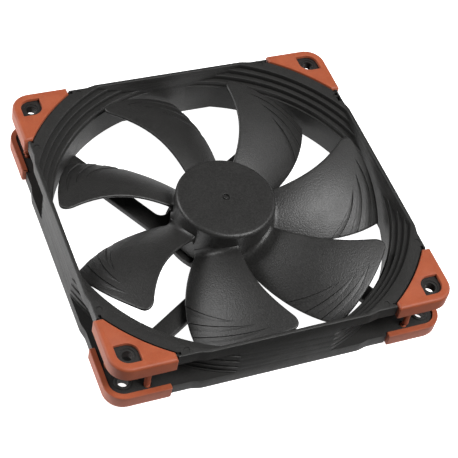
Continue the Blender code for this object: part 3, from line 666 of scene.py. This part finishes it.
def cornerCutter(k):
    # the open space between the flanges, with louvre grooves running round the duct
    f = fanFrame
    reach = math.acos((f["side"] + 0.2) / f["ductOuter"])
    steps = 48
    low, high = f["low"] + f["flange"], f["high"] - f["flange"]
    levels = {low: 0.0, high: 0.0}
    for middle in f["louvres"]:
        half = f["louvreTall"] / 2
        for offset, share in ((-half, 0), (-half + 0.2, 1), (half - 0.2, 1), (half, 0)):
            levels[min(max(middle + offset, low + 0.01), high - 0.01)] = share
    rings = []
    for height in sorted(levels):
        points = []
        for i in range(steps + 1):
            turn = reach + (quarter - 2 * reach) * i / steps
            along = min(math.cos(turn), math.sin(turn)) * f["ductOuter"]
            fade = min(max((along - f["louvreStart"]) / f["louvreTaper"], 0), 1)
            radius = f["ductOuter"] - f["louvreDeep"] * levels[height] * math.sqrt(fade)
            points.append((radius * math.cos(turn), radius * math.sin(turn)))
        points += [(points[-1][0], beyond), (beyond, beyond), (beyond, points[0][1])]
        rings.append((height, turnedBy(points, k * quarter)))
    return stacked("corner", rings)


def seatCutter(k, low, high):
    f = fanFrame
    end = f["padEnd"] - 0.2
    turn = math.asin(end / f["seatArc"])
    outline = arc((0, 0), f["seatArc"], turn, quarter - turn, 24)
    outline = turnedBy(outline + [(end, beyond), (beyond, beyond), (beyond, end)], k * quarter)
    return stacked("seat", [(low, outline), (high, outline)])


def strutMesh(k):
    m = motorBase
    near, far = m["strutOffset"] - m["strutWide"] / 2, m["strutOffset"] + m["strutWide"] / 2
    meet = math.asin(near / m["radius"])
    past = meet - math.radians(26)
    inside = 17.0  # reaches under the base
    corners = [(m["strutEnd"], far), (m["radius"] * 0.35, far)]
    corners += [(radius * math.cos(past), radius * math.sin(past)) for radius in (inside, m["radius"])]
    corners += [(m["radius"] * math.cos(meet), near, m["filletRadius"]), (m["strutEnd"], near)]
    outline = turnedBy(eased(corners, steps=8), math.radians(m["strutTurn"]) + k * quarter)
    return plate("strut", outline, m["strutLow"], m["strutHigh"], m["strutRound"], 4)


def baseMesh():
    f, m = fanFrame, motorBase
    top, low = f["low"] + m["thick"], f["low"]
    profile = [(0, top), (m["radius"], top, m["rim"]), (m["radius"], low, 0.3), (0, low)]
    base = lathe("base", eased(profile, closed=False), 144)
    for k in range(m["struts"]):
        base = carve(base, strutMesh(k), "UNION")
    trims = [rod("hubRoom", (0, 0), m["hubRoom"], top, 12, 120)]
    trims.append(rod("recess", (0, 0), m["labelRadius"], -3, low + m["labelSink"], 120))
    return carve(base, together("trims", trims))


def makeFanFrame():
    f = fanFrame
    floor = f["low"] + f["flange"]
    seatLow, seatHigh = f["low"] + f["seatDepth"], f["high"] - f["seatDepth"]
    boss = [(0, floor + f["bossTall"]), (f["bossRadius"], floor + f["bossTall"], 0.2)]
    boss = eased(boss + [(f["bossRadius"] + 0.3, floor - 0.3), (0, floor - 0.3)], closed=False)
    mouth, mouthHigh, mouthLow = f["holeRadius"] + f["holeSink"], seatHigh - 0.35, seatLow + 0.35
    hole = [(0, 27), (mouth, 27), (mouth, mouthHigh), (f["holeRadius"], mouthHigh)]
    hole += [(f["holeRadius"], mouthLow), (mouth, mouthLow), (mouth, -2), (0, -2)]
    pegPlaces = ((f["pegAcross"], f["pegAlong"]), (f["pegAlong"], f["pegAcross"]))
    bosses, seats, holes = [], [], []
    for k in range(4):
        middle = turnedBy([(f["hole"], f["hole"])], k * quarter)[0]
        bosses.append(lathe("boss", boss, 40, place=middle))
        seats += [seatCutter(k, -2.0, seatLow), seatCutter(k, seatHigh, 28.0)]
        holes.append(lathe("hole", hole, 40, place=middle))
        for place in turnedBy(pegPlaces, k * quarter):
            holes.append(rod("pegHole", place, f["pegHole"], -2, 27, 28))
        for place in turnedBy(f["ejectorPlaces"], k * quarter):
            for low, high in ((f["high"] - f["ejectorSink"], 26), (-1, f["low"] + f["ejectorSink"])):
                holes.append(rod("ejector", place, f["ejectorRadius"], low, high, 28))
    shell = carve(frameBlank(), inletCutter())
    shell = carve(shell, together("corners", [cornerCutter(k) for k in range(4)]))
    shell = carve(shell, baseMesh(), "UNION")
    shell = carve(shell, together("bosses", bosses), "UNION")
    for cuts in (seats, holes, slotCutters()):
        shell = carve(shell, together("cuts", cuts))
    return cleaned(shell)


def slotCutters():
    # lead channel under a strut, its way out, the clip slot, and the small notches beside the pads
    f, m = fanFrame, motorBase
    low, channelTop = -2.0, f["low"] + m["channelDeep"]
    near, far = m["strutOffset"] - m["channelWide"] / 2, m["strutOffset"] + m["channelWide"] / 2
    start = math.sqrt(m["labelRadius"] ** 2 - m["strutOffset"] ** 2) - 1
    stop = math.sqrt(f["duct"] ** 2 - m["strutOffset"] ** 2)
    turn = math.radians(m["strutTurn"]) + m["channelStrut"] * quarter
    cuts = [block("channel", (start, near, low), (stop, far, channelTop), turn)]
    middle, half = f["padEnd"] + 0.3 - m["outletBack"], m["outletWide"] / 2
    start = math.sqrt(f["duct"] ** 2 - middle ** 2)
    cuts.append(block("outlet", (start, middle - half, low), (beyond, middle + half, channelTop)))
    near, far = f["padEnd"] - f["notchLong"], f["padEnd"]
    inner, outer = f["notchAt"] - f["notchWide"] / 2, f["notchAt"] + f["notchWide"] / 2
    for k in range(4):
        for low, high in ((-1, f["low"] + f["seatDepth"]), (f["high"] - f["seatDepth"], 27)):
            cuts.append(block("notch", (inner, near, low), (outer, far, high), k * quarter))
            cuts.append(block("notch", (near, inner, low), (far, outer, high), k * quarter))
    top = f["padEnd"] - 0.3
    middle, half = top - m["clipLong"] / 2, m["clipTab"] / 2
    under = f["high"] - f["flange"] - 1
    for near, far in ((top - m["clipLong"], middle - half), (middle + half, top - m["clipEnd"])):
        cuts.append(block("clipSlot", (m["clipAt"], near, under), (m["clipAt"] + m["clipWide"], far, 27)))
    return cuts


addPiece("fanFrameShell", makeFanFrame(), "housing", "frame_plastic", "fan_frame")
print("case fan: frame moulded")


# Impeller: seven swept blades with shallow channels near their trailing corners, on a cup-shaped hub.

blade = {
    "count": 7,
    "root": 19.5,  # inside the hub's wall
    "hub": 20.4,
    "tip": 66.5,
    "foot": 6.55,  # height of the trailing edge at the root
    "tall": 16.25,
    "camber": 2.0,
    "tipRound": 5.8,
    "leadTurn": (10.5, 4.1, 13.2, 19.4),  # degrees, root to tip
    "trailTurn": (-36.4, -29.0, -23.8, -14.8),
    "leadRise": (0.55, 0.88, 1.03, 1.0),  # share of the blade's height
    "trailRise": (0.0, 0.0, 0.04, 0.1),
    "thick": 1.3,
    "trailThick": 0.75,
    "edgeRound": 0.8,
    "fillet": 2.4,
    # each channel: its inner side at the trailing edge, width there, and its end, along and across
    "channels": ((0.557, 0.073, 0.785, 0.53), (0.724, 0.075, 0.855, 0.4), (0.86, 0.064, 0.915, 0.27)),
    # place across a channel, and depth there
    "channelShape": ((0, 0), (0.05, 1), (0.1, 0.65), (0.5, 0.7), (0.92, 1), (0.98, 0), (1, 0)),
    "channelBulge": (0.012, 0.016),  # how far the inner side and the width swell on the way
    "channelTip": 0.0015,
    "channelDeep": 0.42,
    # more rows of the grid, so that it stays even between the channels and at the tip
    "extraRows": (0.66, 0.69, 0.755, 0.815, 0.83, 0.845, 0.932, 0.94, 0.95, 0.96, 0.97),
}
hub = {
    "radius": 20.4,
    "wall": 1.6,
    "top": 23.0,
    "cap": 2.4,
    "low": 3.6,
    "round": 1.7,
    "dimple": 1.65,
    "dimpleDeep": 0.8,
    "nub": 0.8,
    "nubTall": 0.55,
}


def bezier(values, t):
    a, b, c, d = values
    u = 1 - t
    return a * u ** 3 + 3 * b * u * u * t + 3 * c * u * t * t + d * t ** 3


def bladePoint(along, across):
    # middle surface: along the span and across the chord, both 0 to 1
    b = blade
    radius = b["root"] + (b["tip"] - b["root"]) * along
    span = (radius - b["hub"]) / (b["tip"] - b["hub"])
    lead, trail = math.radians(bezier(b["leadTurn"], span)), math.radians(bezier(b["trailTurn"], span))
    top = b["foot"] + b["tall"] * bezier(b["leadRise"], span)
    bottom = b["foot"] + b["tall"] * bezier(b["trailRise"], span)
    chord = math.hypot(radius * (lead - trail), top - bottom)
    past = min(max(0, radius - b["tip"] + b["tipRound"]), b["tipRound"])
    cut = (b["tipRound"] - math.sqrt(b["tipRound"] ** 2 - past ** 2)) / chord
    share = cut + (1 - cut) * across
    turn = lead + (trail - lead) * share
    height = top + (bottom - top) * share + b["camber"] * 4 * share * (1 - share)
    return Vector((radius * math.cos(turn), radius * math.sin(turn), height))


def channelSides(channel, across):
    # where a channel's two sides are along the span; they run together at its end
    start, width, endAlong, endAcross = channel
    share = min((1 - across) / (1 - endAcross), 1)
    bulge = math.sin(math.pi * share)
    swell, widen = blade["channelBulge"]
    inner = start + (endAlong - start) * share + swell * bulge
    return inner, inner + max(width * (1 - share) + widen * bulge, blade["channelTip"])


def sweptAlong(row, across):
    # grid rows lean towards the tip away from the trailing edge, so that they follow the channels
    first = blade["channels"][0]
    if row < first[0]:
        return row + (channelSides(first, across)[0] - first[0]) * (row / first[0]) ** 2
    fixed = []
    for channel in blade["channels"]:
        inner, outer = channelSides(channel, across)
        fixed += [(channel[0], inner), (channel[0] + channel[1], outer)]
    fixed.append((1.0, 1.0))
    for (low, lowPlace), (high, highPlace) in zip(fixed, fixed[1:]):
        if row <= high:
            return lowPlace + (highPlace - lowPlace) * (row - low) / (high - low)
    return row


def roundedEdge(distance):
    near = min(distance / blade["edgeRound"], 1)
    return math.sqrt(1 - (1 - near) ** 2)


def channelDepth(row, across):
    depth = 0
    for start, width, _, endAcross in blade["channels"]:
        place = (row - start) / width
        left = max(1 - (1 - across) / (1 - endAcross), 0)
        for (low, lowDepth), (high, highDepth) in zip(blade["channelShape"], blade["channelShape"][1:]):
            if low <= place < high:
                dip = lowDepth + (highDepth - lowDepth) * (place - low) / (high - low)
                depth = dip * math.sqrt(min(left / 0.2, 1))
    return depth * blade["channelDeep"]


def bladeRows():
    b = blade
    span = b["tip"] - b["root"]
    rows = {0.0, 0.5 / span}
    rows |= {(b["hub"] - b["root"] + d) / span for d in (0, 0.3, 0.65, 1.05, 1.5, 2.0, 2.6, 3.4)}
    rows |= {0.13 + 0.035 * i for i in range(14)}
    for start, width, _, _ in b["channels"]:
        rows |= {start - 0.005, start + width * 0.3, start + width * 0.6}
        rows |= {start + width * share for share, _ in b["channelShape"]}
    rows |= set(b["extraRows"])
    rows |= {1 - d / span for d in (0.8, 0.55, 0.32, 0.15, 0.04, 0)}
    return sorted(rows)


def bladeColumns():
    ends = (0, 0.001, 0.004, 0.009, 0.016, 0.025)
    middle = [0.025 + 0.95 * i / 40 for i in range(1, 40)]
    return list(ends) + middle + [1 - d for d in reversed(ends)]


def bladeMesh(k):
    b = blade
    rows, columns = bladeRows(), bladeColumns()
    span = b["tip"] - b["root"]
    step = 0.002  # for the slopes of the middle surface
    bm = bmesh.new()
    upper, lower = [], []
    for row in rows:
        upper.append([])
        lower.append([])
        for across in columns:
            along = sweptAlong(row, across)
            here = bladePoint(along, across)
            out, back = min(along + step, 1), min(across + step, 1)
            one = bladePoint(out, across) - bladePoint(out - 2 * step, across)
            two = bladePoint(along, back) - bladePoint(along, back - 2 * step)
            face = one.cross(two).normalized()
            if face.z < 0:
                face = -face
            chord = (bladePoint(along, 0) - bladePoint(along, 1)).length
            half = (b["thick"] + (b["trailThick"] - b["thick"]) * across) / 2
            edges = roundedEdge(across * chord) * roundedEdge((1 - across) * chord)
            edges *= roundedEdge((1 - along) * span)
            near = max(0, b["fillet"] - max(0, here.xy.length - b["hub"]))
            flare = b["fillet"] - math.sqrt(max(0, b["fillet"] ** 2 - near ** 2))
            half = (half + flare) * edges
            dip = channelDepth(row, across) * min(edges * 1.2, 1)
            upper[-1].append(bm.verts.new(here + face * (half - dip)))
            lower[-1].append(bm.verts.new(here - face * half))
    for grid, flip in ((upper, False), (lower, True)):
        for i in range(len(rows) - 1):
            for j in range(len(columns) - 1):
                corners = [grid[i][j], grid[i + 1][j], grid[i + 1][j + 1], grid[i][j + 1]]
                bm.faces.new(corners[::-1] if flip else corners)
    for j in range(len(columns) - 1):
        bm.faces.new((upper[0][j], upper[0][j + 1], lower[0][j + 1], lower[0][j]))
    bmesh.ops.remove_doubles(bm, verts=bm.verts, dist=0.0005)
    turn = Matrix.Rotation(k * 2 * math.pi / b["count"], 3, "Z")
    bmesh.ops.rotate(bm, verts=bm.verts, matrix=turn)
    return meshOf("blade", bm)


def hubMesh():
    h = hub
    low, wallIn, under = h["low"], h["radius"] - h["wall"], h["top"] - h["cap"]
    floor = h["top"] - h["dimpleDeep"]
    profile = [(0, floor + h["nubTall"]), (h["nub"], floor + h["nubTall"], 0.35), (h["nub"], floor)]
    profile += [(h["dimple"], floor), (h["dimple"], h["top"], 0.15), (8.0, h["top"]), (14.0, h["top"])]
    profile += [(h["radius"], h["top"], h["round"])]
    rise = (under - low) / 6
    profile += [(h["radius"], under - rise * i) for i in range(6)]
    profile += [(h["radius"], low, 0.3), (wallIn, low, 0.2), (wallIn, under, 0.8), (0, under)]
    return lathe("hub", eased(profile, closed=False, steps=6), 168)


def makeImpeller():
    blades = together("blades", [bladeMesh(k) for k in range(blade["count"])])
    return cleaned(carve(hubMesh(), blades, "UNION"), 0.002)


addPiece("impellerMoulding", makeImpeller(), "rotor", "impeller_plastic", "impeller", crease=38)
print("case fan: impeller moulded")


# Soft corner pads: an L-shaped cap with a leaf-shaped window and two pull-through pegs.

pad = {
    "face": 70.0,
    "end": 45.2,
    "corner": 8.0,
    "arc": 80.5,
    "tall": 6.5,
    "plate": 1.3,
    "wall": 2.2,
    "round": 1.2,  # outer top edge
    "innerRound": 0.3,
    "window": 8.6,
    "windowRound": 4.5,
    "windowEdge": 0.25,
    "peg": 1.3,
    "pegLean": 2.0,  # degrees
    "pegNeck": 1.5,  # below the plate
    "pegWaist": 6.0,  # below the plate; a short peg has none
    "pegHead": (2.5, 1.6),  # where the head begins and is full, above the peg's end
    "pegEnds": {"front": 6.6, "rear": 19.0},
}


def padOutline(back=0.0, arcBack=0.0):
    # the pad's outline, drawn in by one depth along its straight sides and another along its arc
    p = pad
    end, face, radius = p["end"] + back, p["face"] - back, p["arc"] + arcBack
    turn = math.asin(end / radius)
    tip = radius * math.cos(turn)
    outer = [(tip, end), (face, end, 0.5), (face, face, p["corner"] - back), (end, face, 0.5), (end, tip)]
    return eased(outer, closed=False, steps=10) + arc((0, 0), radius, quarter - turn, turn, 36)[1:-1]


def padBody(top):
    p = pad
    low = top - p["tall"]
    rings = [(low, padOutline(0.25, 0.25)), (low + 0.25, padOutline())]
    steps = 6
    for i in range(steps + 1):
        turn = quarter * i / steps
        share = 1 - math.cos(turn)
        outline = padOutline(p["round"] * share, p["innerRound"] * share)
        rings.append((top - p["round"] * (1 - math.sin(turn)), outline))
    rings.append((top, padOutline(p["round"] + 0.3, p["innerRound"] + 0.3)))  # keeps the flat top even
    return stacked("padBody", rings)


def windowCutter(top):
    p = pad
    half = p["window"] / 2
    low, high = fanFrame["hole"] - half, fanFrame["hole"] + half
    point, bow = 0.3, p["windowRound"]
    corners = [(high, low, point), (high, high, bow), (low, high, point), (low, low, bow)]
    outline = eased(corners, steps=8)
    edge = p["windowEdge"]
    rings = [(top - p["tall"] - 1, outline), (top - edge, outline)]
    rings += [(top - edge * 0.3, inset(outline, -edge * 0.35)), (top, inset(outline, -edge))]
    return stacked("window", rings + [(top + 1, inset(outline, -edge - 0.2))])


def hollowCutter(top):
    p = pad
    inner = p["face"] - p["wall"]
    radius = p["corner"] - p["wall"]
    outline = eased([(20, 20), (inner, 20), (inner, inner, radius), (20, inner)], steps=10)
    return stacked("hollow", [(top - p["tall"] - 1, outline), (top - p["plate"], outline)])


def pegMesh(place, top, end):
    p = pad
    under = top - p["plate"]
    headStart, headFull = p["pegHead"]
    profile = [(0, top - p["plate"] / 2), (p["peg"], top - p["plate"] / 2), (p["peg"], under - p["pegNeck"])]
    if under - p["pegWaist"] > end + headStart:
        profile.append((p["peg"] * 0.9, under - p["pegWaist"]))
    profile += [(p["peg"] * 0.92, end + headStart), (p["peg"], end + headFull)]
    profile += [(p["peg"], end, 0.9), (0, end)]
    mesh = lathe("peg", eased(profile, closed=False, steps=6), 28)
    outward = Vector((*place, 0)).normalized()
    lean = Matrix.Rotation(-math.radians(p["pegLean"]), 4, Vector((0, 0, 1)).cross(outward))
    lift = Matrix.Translation((0, 0, under * mm))
    move = Matrix.Translation((place[0] * mm, place[1] * mm, 0))
    return moved(mesh, move @ lift @ lean @ lift.inverted())


def makePads():
    top = cadBox[1][2] / mm
    middle = Matrix.Translation((0, 0, top * mm / 2))
    over = middle @ Matrix.Rotation(math.pi, 4, Vector((1, 1, 0)).normalized()) @ middle.inverted()
    along, across = fanFrame["pegAlong"], fanFrame["pegAcross"]
    for side, flip in (("front", Matrix.Identity(4)), ("rear", over)):
        body = carve(carve(padBody(top), hollowCutter(top)), windowCutter(top))
        pegs = [pegMesh(place, top, pad["pegEnds"][side]) for place in ((across, along), (along, across))]
        body = cleaned(carve(body, together("pegs", pegs), "UNION"))
        for k in range(4):
            copy = moved(body.copy(), Matrix.Rotation(k * quarter, 4, "Z") @ flip)
            number = k + 1
            addPiece("%sPad%d" % (side, number), copy, "housing", "pad_rubber", "%s_pad_%d" % (side, number))


makePads()
print("case fan: pads cast")


# Motor: yoke, magnet and shaft turn with the impeller; tube, bearing, core, coils and board stay.

motor = {
    "yokeOuter": 18.4,
    "yokeWall": 1.0,
    "yokeLow": 5.0,
    "yokeHigh": 20.2,
    "yokeRound": 1.1,
    "yokeHole": 3.9,
    "magnet": (15.3, 17.1, 6.0, 17.0),  # inner and outer radius, low and high
    "bush": (1.8, 3.6, 16.6, 20.2),
    "shaft": 1.5,
    "shaftEnds": (4.0, 20.2),
    "shaftGroove": (1.0, 4.4, 5.4),
    "tube": (3.6, 4.6, 3.3, 15.0),
    "sleeve": (1.8, 3.3, 5.7, 13.8),
    "slinger": (1.8, 3.3, 14.4, 15.0),
    "cap": (2.1, 4.6, 15.3, 16.1),
    "thrust": (3.3, 3.3, 3.7),
    "clip": (1.3, 3.3, 4.75, 5.05),
    "board": (4.9, 17.0, 3.4, 4.6),
    "poles": 4,
    "coreHub": 6.5,
    "coreBore": 4.9,
    "coreLow": 8.5,
    "coreHigh": 14.5,
    "sheets": 12,
    "sheetGap": 0.06,
    "armWide": 4.0,
    "shoeInner": 13.0,
    "shoeOuter": 14.7,
    "shoeSpan": 70,  # degrees
    "bobbinHub": 6.7,
    "bobbinArm": 4.4,
    "bobbinEnd": 12.9,
    "bobbins": ((7.2, 8.2), (14.8, 15.8)),
    "coil": (7.1, 11.8, 2.6, 4.4, 6.0, 17.0),  # along the arm, across it, and low and high
    "coilBore": 4.6,
    "wire": 0.42,
    "turnShape": ((0.06, 0.14), (0.25, 0.03), (0.5, 0.0), (0.75, 0.03), (0.94, 0.14)),  # place, sink
    "drains": (10.6, 0.9),  # place and radius of the yoke's drain holes
    "solderTurns": (20, 110, 160, 200, 290, 340),  # degrees
    "solder": (8.2, 0.7, 0.8),  # place, and radius above and below
    "label": (19.3, 0.4, 0.6),
}
chips = {  # node, finish, place and turn, wide, long, height over the board, tall
    "hallSensor": ("hall_sensor", "chip_black", 12.6, 45, 1.6, 3.0, 0.3, 1.3),
    "driverChip": ("driver_chip", "chip_black", 10.6, 135, 3.6, 4.8, 0.0, 0.7),
    "filterCapacitor": ("filter_capacitor", "tin_plate", 11.0, 225, 2.4, 1.4, 0.0, 0.7),
    "leadTerminal": ("lead_terminal", "tin_plate", 12.0, -45, 2.0, 5.2, 0.0, 0.7),
}


def tube(name, round=0.15, sides=72):
    inner, outer, low, high = motor[name]
    return lathe(name, ringProfile(inner, outer, low, high, round), sides, closed=True)


def disc(name, radius, low, high, under, over, sides):
    profile = [(0, high), (radius, high, over), (radius, low, under), (0, low)]
    return lathe(name, eased(profile, closed=False), sides)


def yokeMesh():
    # a pressed cup, open downwards, with a hole for the bush and four small drain holes
    m = motor
    outer, inner = m["yokeOuter"], m["yokeOuter"] - m["yokeWall"]
    high, under = m["yokeHigh"], m["yokeHigh"] - m["yokeWall"]
    profile = [(m["yokeHole"], high, 0.15), (outer, high, m["yokeRound"]), (outer, m["yokeLow"], 0.15)]
    profile += [(inner, m["yokeLow"], 0.15), (inner, under, 0.5), (m["yokeHole"], under, 0.15)]
    cup = lathe("yoke", eased(profile, steps=5), 120, closed=True)
    out, radius = m["drains"]
    places = [turnedBy([(out, 0)], quarter * (k + 0.5))[0] for k in range(4)]
    drains = [rod("drain", place, radius, 18, 22, 20) for place in places]
    return carve(cup, together("drains", drains))


def shaftMesh():
    m = motor
    low, high = m["shaftEnds"]
    groove, under, over = m["shaftGroove"]
    profile = [(0, high), (m["shaft"], high, 0.25), (m["shaft"], over), (groove, over), (groove, under)]
    profile += [(m["shaft"], under), (m["shaft"], low, 0.3), (0, low)]
    return lathe("shaft", eased(profile, closed=False), 48)


def clipMesh():
    # a split ring with an open mouth
    inner, outer, low, high = motor["clip"]
    full, gap = 2 * math.pi, math.radians(28)
    outline = arc((0, 0), outer, gap, full - gap, 40) + arc((0, 0), inner, full - gap * 1.7, gap * 1.7, 30)
    return plate("clip", outline, low, high, 0.05, 2)


def crossOutline(hubRadius, armWide, tips):
    # arms standing on a round hub; tips are the points round an arm's end
    half = armWide / 2
    along = math.sqrt(hubRadius ** 2 - half ** 2)
    start = math.atan2(half, along)
    points = []
    for k in range(motor["poles"]):
        arm = [(along, -half, 0.3), *tips, (along, half, 0.3)]
        arm += arc((0, 0), hubRadius, start, quarter - start, 6)[1:-1]
        points += turnedBy(arm, k * quarter)
    return eased(points, steps=3)


def coreOutline():
    m = motor
    half = m["armWide"] / 2
    inner, outer = m["shoeInner"], m["shoeOuter"]
    reach, narrow = math.radians(m["shoeSpan"]) / 2, math.asin(half / inner)
    foot = math.sqrt(inner ** 2 - half ** 2)
    tips = [(foot, -half, 0.35)] + arc((0, 0), inner, -narrow, -reach, 5)[1:]
    tips += arc((0, 0), outer, -reach, reach, 20)
    tips += arc((0, 0), inner, reach, narrow, 5)[:-1] + [(foot, half, 0.35)]
    return crossOutline(m["coreHub"], m["armWide"], tips)


def coreMesh():
    # a stack of punched sheets, each a little apart from the next at its edge
    m = motor
    outline, ease = coreOutline(), 0.07
    waist = inset(outline, m["sheetGap"])
    thick = (m["coreHigh"] - m["coreLow"]) / m["sheets"]
    rings = []
    for i in range(m["sheets"]):
        low = m["coreLow"] + thick * i
        rings += [(low, waist), (low + ease, outline), (low + thick - ease, outline)]
    rings.append((m["coreHigh"], waist))
    return carve(stacked("core", rings), rod("bore", (0, 0), m["coreBore"], 0, 25, 64))


def bobbinMesh(low, high):
    m = motor
    half = m["bobbinArm"] / 2
    tips = [(m["bobbinEnd"], -half, 0.5), (m["bobbinEnd"], half, 0.5)]
    cross = plate("bobbin", crossOutline(m["bobbinHub"], m["bobbinArm"], tips), low, high, 0.15)
    return carve(cross, rod("bore", (0, 0), m["coreBore"], 0, 25, 64))


def coilMesh(k):
    # wire laid in turns side by side: each turn is a rounded loop round the arm
    start, stop, inner, outer, low, high = motor["coil"]
    turns = round((stop - start) / motor["wire"])
    pitch = (stop - start) / turns
    middle = (low + high) / 2

    def loop(wide, tall, corner):
        ends = ((wide, -tall), (wide, tall), (-wide, tall), (-wide, -tall))
        return eased([(*end, corner) for end in ends], steps=6)

    inside = loop(inner, motor["coilBore"], 0.4)
    outside = loop(outer, (high - low) / 2, 1.3)
    levels = []
    for i in range(turns):
        for share, sink in motor["turnShape"]:
            levels.append((start + pitch * (i + share), inset(outside, sink) if sink else outside))
    levels = [(levels[0][0], inside)] + levels + [(levels[-1][0], inside)]
    bm = bmesh.new()
    rows = [[bm.verts.new((x, y, middle + z)) for y, z in outline] for x, outline in levels]
    count = len(inside)
    for one, two in zip(rows, rows[1:] + rows[:1]):
        for i in range(count):
            j = (i + 1) % count
            bm.faces.new((one[i], one[j], two[j], two[i]))
    return moved(meshOf("coil", bm), Matrix.Rotation(k * quarter, 4, "Z"))


def boardMesh():
    # a ring board with round solder pads standing a hair above the lacquer
    inner, outer, low, high = motor["board"]
    ring = lathe("board", ringProfile(inner, outer, low, high - 0.05, 0.08), 120, closed=True)
    out, upper, lower = motor["solder"]
    profile = [(0, high), (upper, high), (lower, high - 0.2), (0, high - 0.2)]
    places = [turnedBy([(out, 0)], math.radians(turn))[0] for turn in motor["solderTurns"]]
    pads = [lathe("pad", profile, 24, place=place) for place in places]
    return carve(ring, together("pads", pads), "UNION")


def chipMesh(name, radius, turn, wide, long, lift, tall, round=0.15):
    half, side = wide / 2, long / 2
    outline = [(radius - half, -side, round), (radius + half, -side, round)]
    outline += [(radius + half, side, round), (radius - half, side, round)]
    low = motor["board"][3] + lift
    outline = turnedBy(eased(outline, steps=3), math.radians(turn))
    return plate(name, outline, low, low + tall, min(round, 0.12))


def makeMotor():
    m = motor
    rows = [
        ("yokeCup", yokeMesh(), "rotor", "yoke_steel", "rotor_yoke"),
        ("magnetRing", tube("magnet", 0.3, 120), "rotor", "magnet_ferrite", "magnet_ring"),
        ("rotorBush", tube("bush", 0.2), "rotor", "brass", "rotor_bush"),
        ("motorShaft", shaftMesh(), "rotor", "shaft_steel", "motor_shaft"),
        ("slingerRing", tube("slinger"), "rotor", "bobbin_nylon", "slinger_ring"),
        ("bearingTube", tube("tube"), "housing", "brass", "bearing_tube"),
        ("bearingSleeve", tube("sleeve", 0.3), "housing", "bearing_bronze", "bearing_sleeve"),
        ("bearingCap", tube("cap", 0.2), "housing", "bobbin_nylon", "bearing_cap"),
        ("thrustPad", disc("thrust", *m["thrust"], 0.1, 0.1, 48), "housing", "bobbin_nylon", "thrust_pad"),
        ("retainingClip", clipMesh(), "housing", "yoke_steel", "retaining_clip"),
        ("statorCore", coreMesh(), "housing", "core_steel", "stator_core"),
        ("bobbinLower", bobbinMesh(*m["bobbins"][0]), "housing", "bobbin_nylon", "bobbin_lower"),
        ("bobbinUpper", bobbinMesh(*m["bobbins"][1]), "housing", "bobbin_nylon", "bobbin_upper"),
    ]
    for k in range(m["poles"]):
        rows.append(("coil%d" % (k + 1), coilMesh(k), "housing", "coil_copper", "coil_%d" % (k + 1)))
    rows.append(("circuitBoard", boardMesh(), "housing", "board_laminate", "circuit_board"))
    for name, (node, slot, *size) in chips.items():
        rows.append((name, chipMesh(name, *size), "housing", slot, node))
    film = disc("label", *m["label"], 0.04, 0.06, 120)
    rows.append(("rearLabel", film, "housing", "label_film", "rear_label"))
    for row in rows:
        addPiece(*row)


makeMotor()
print("case fan: motor assembled")

print("case fan: finished")
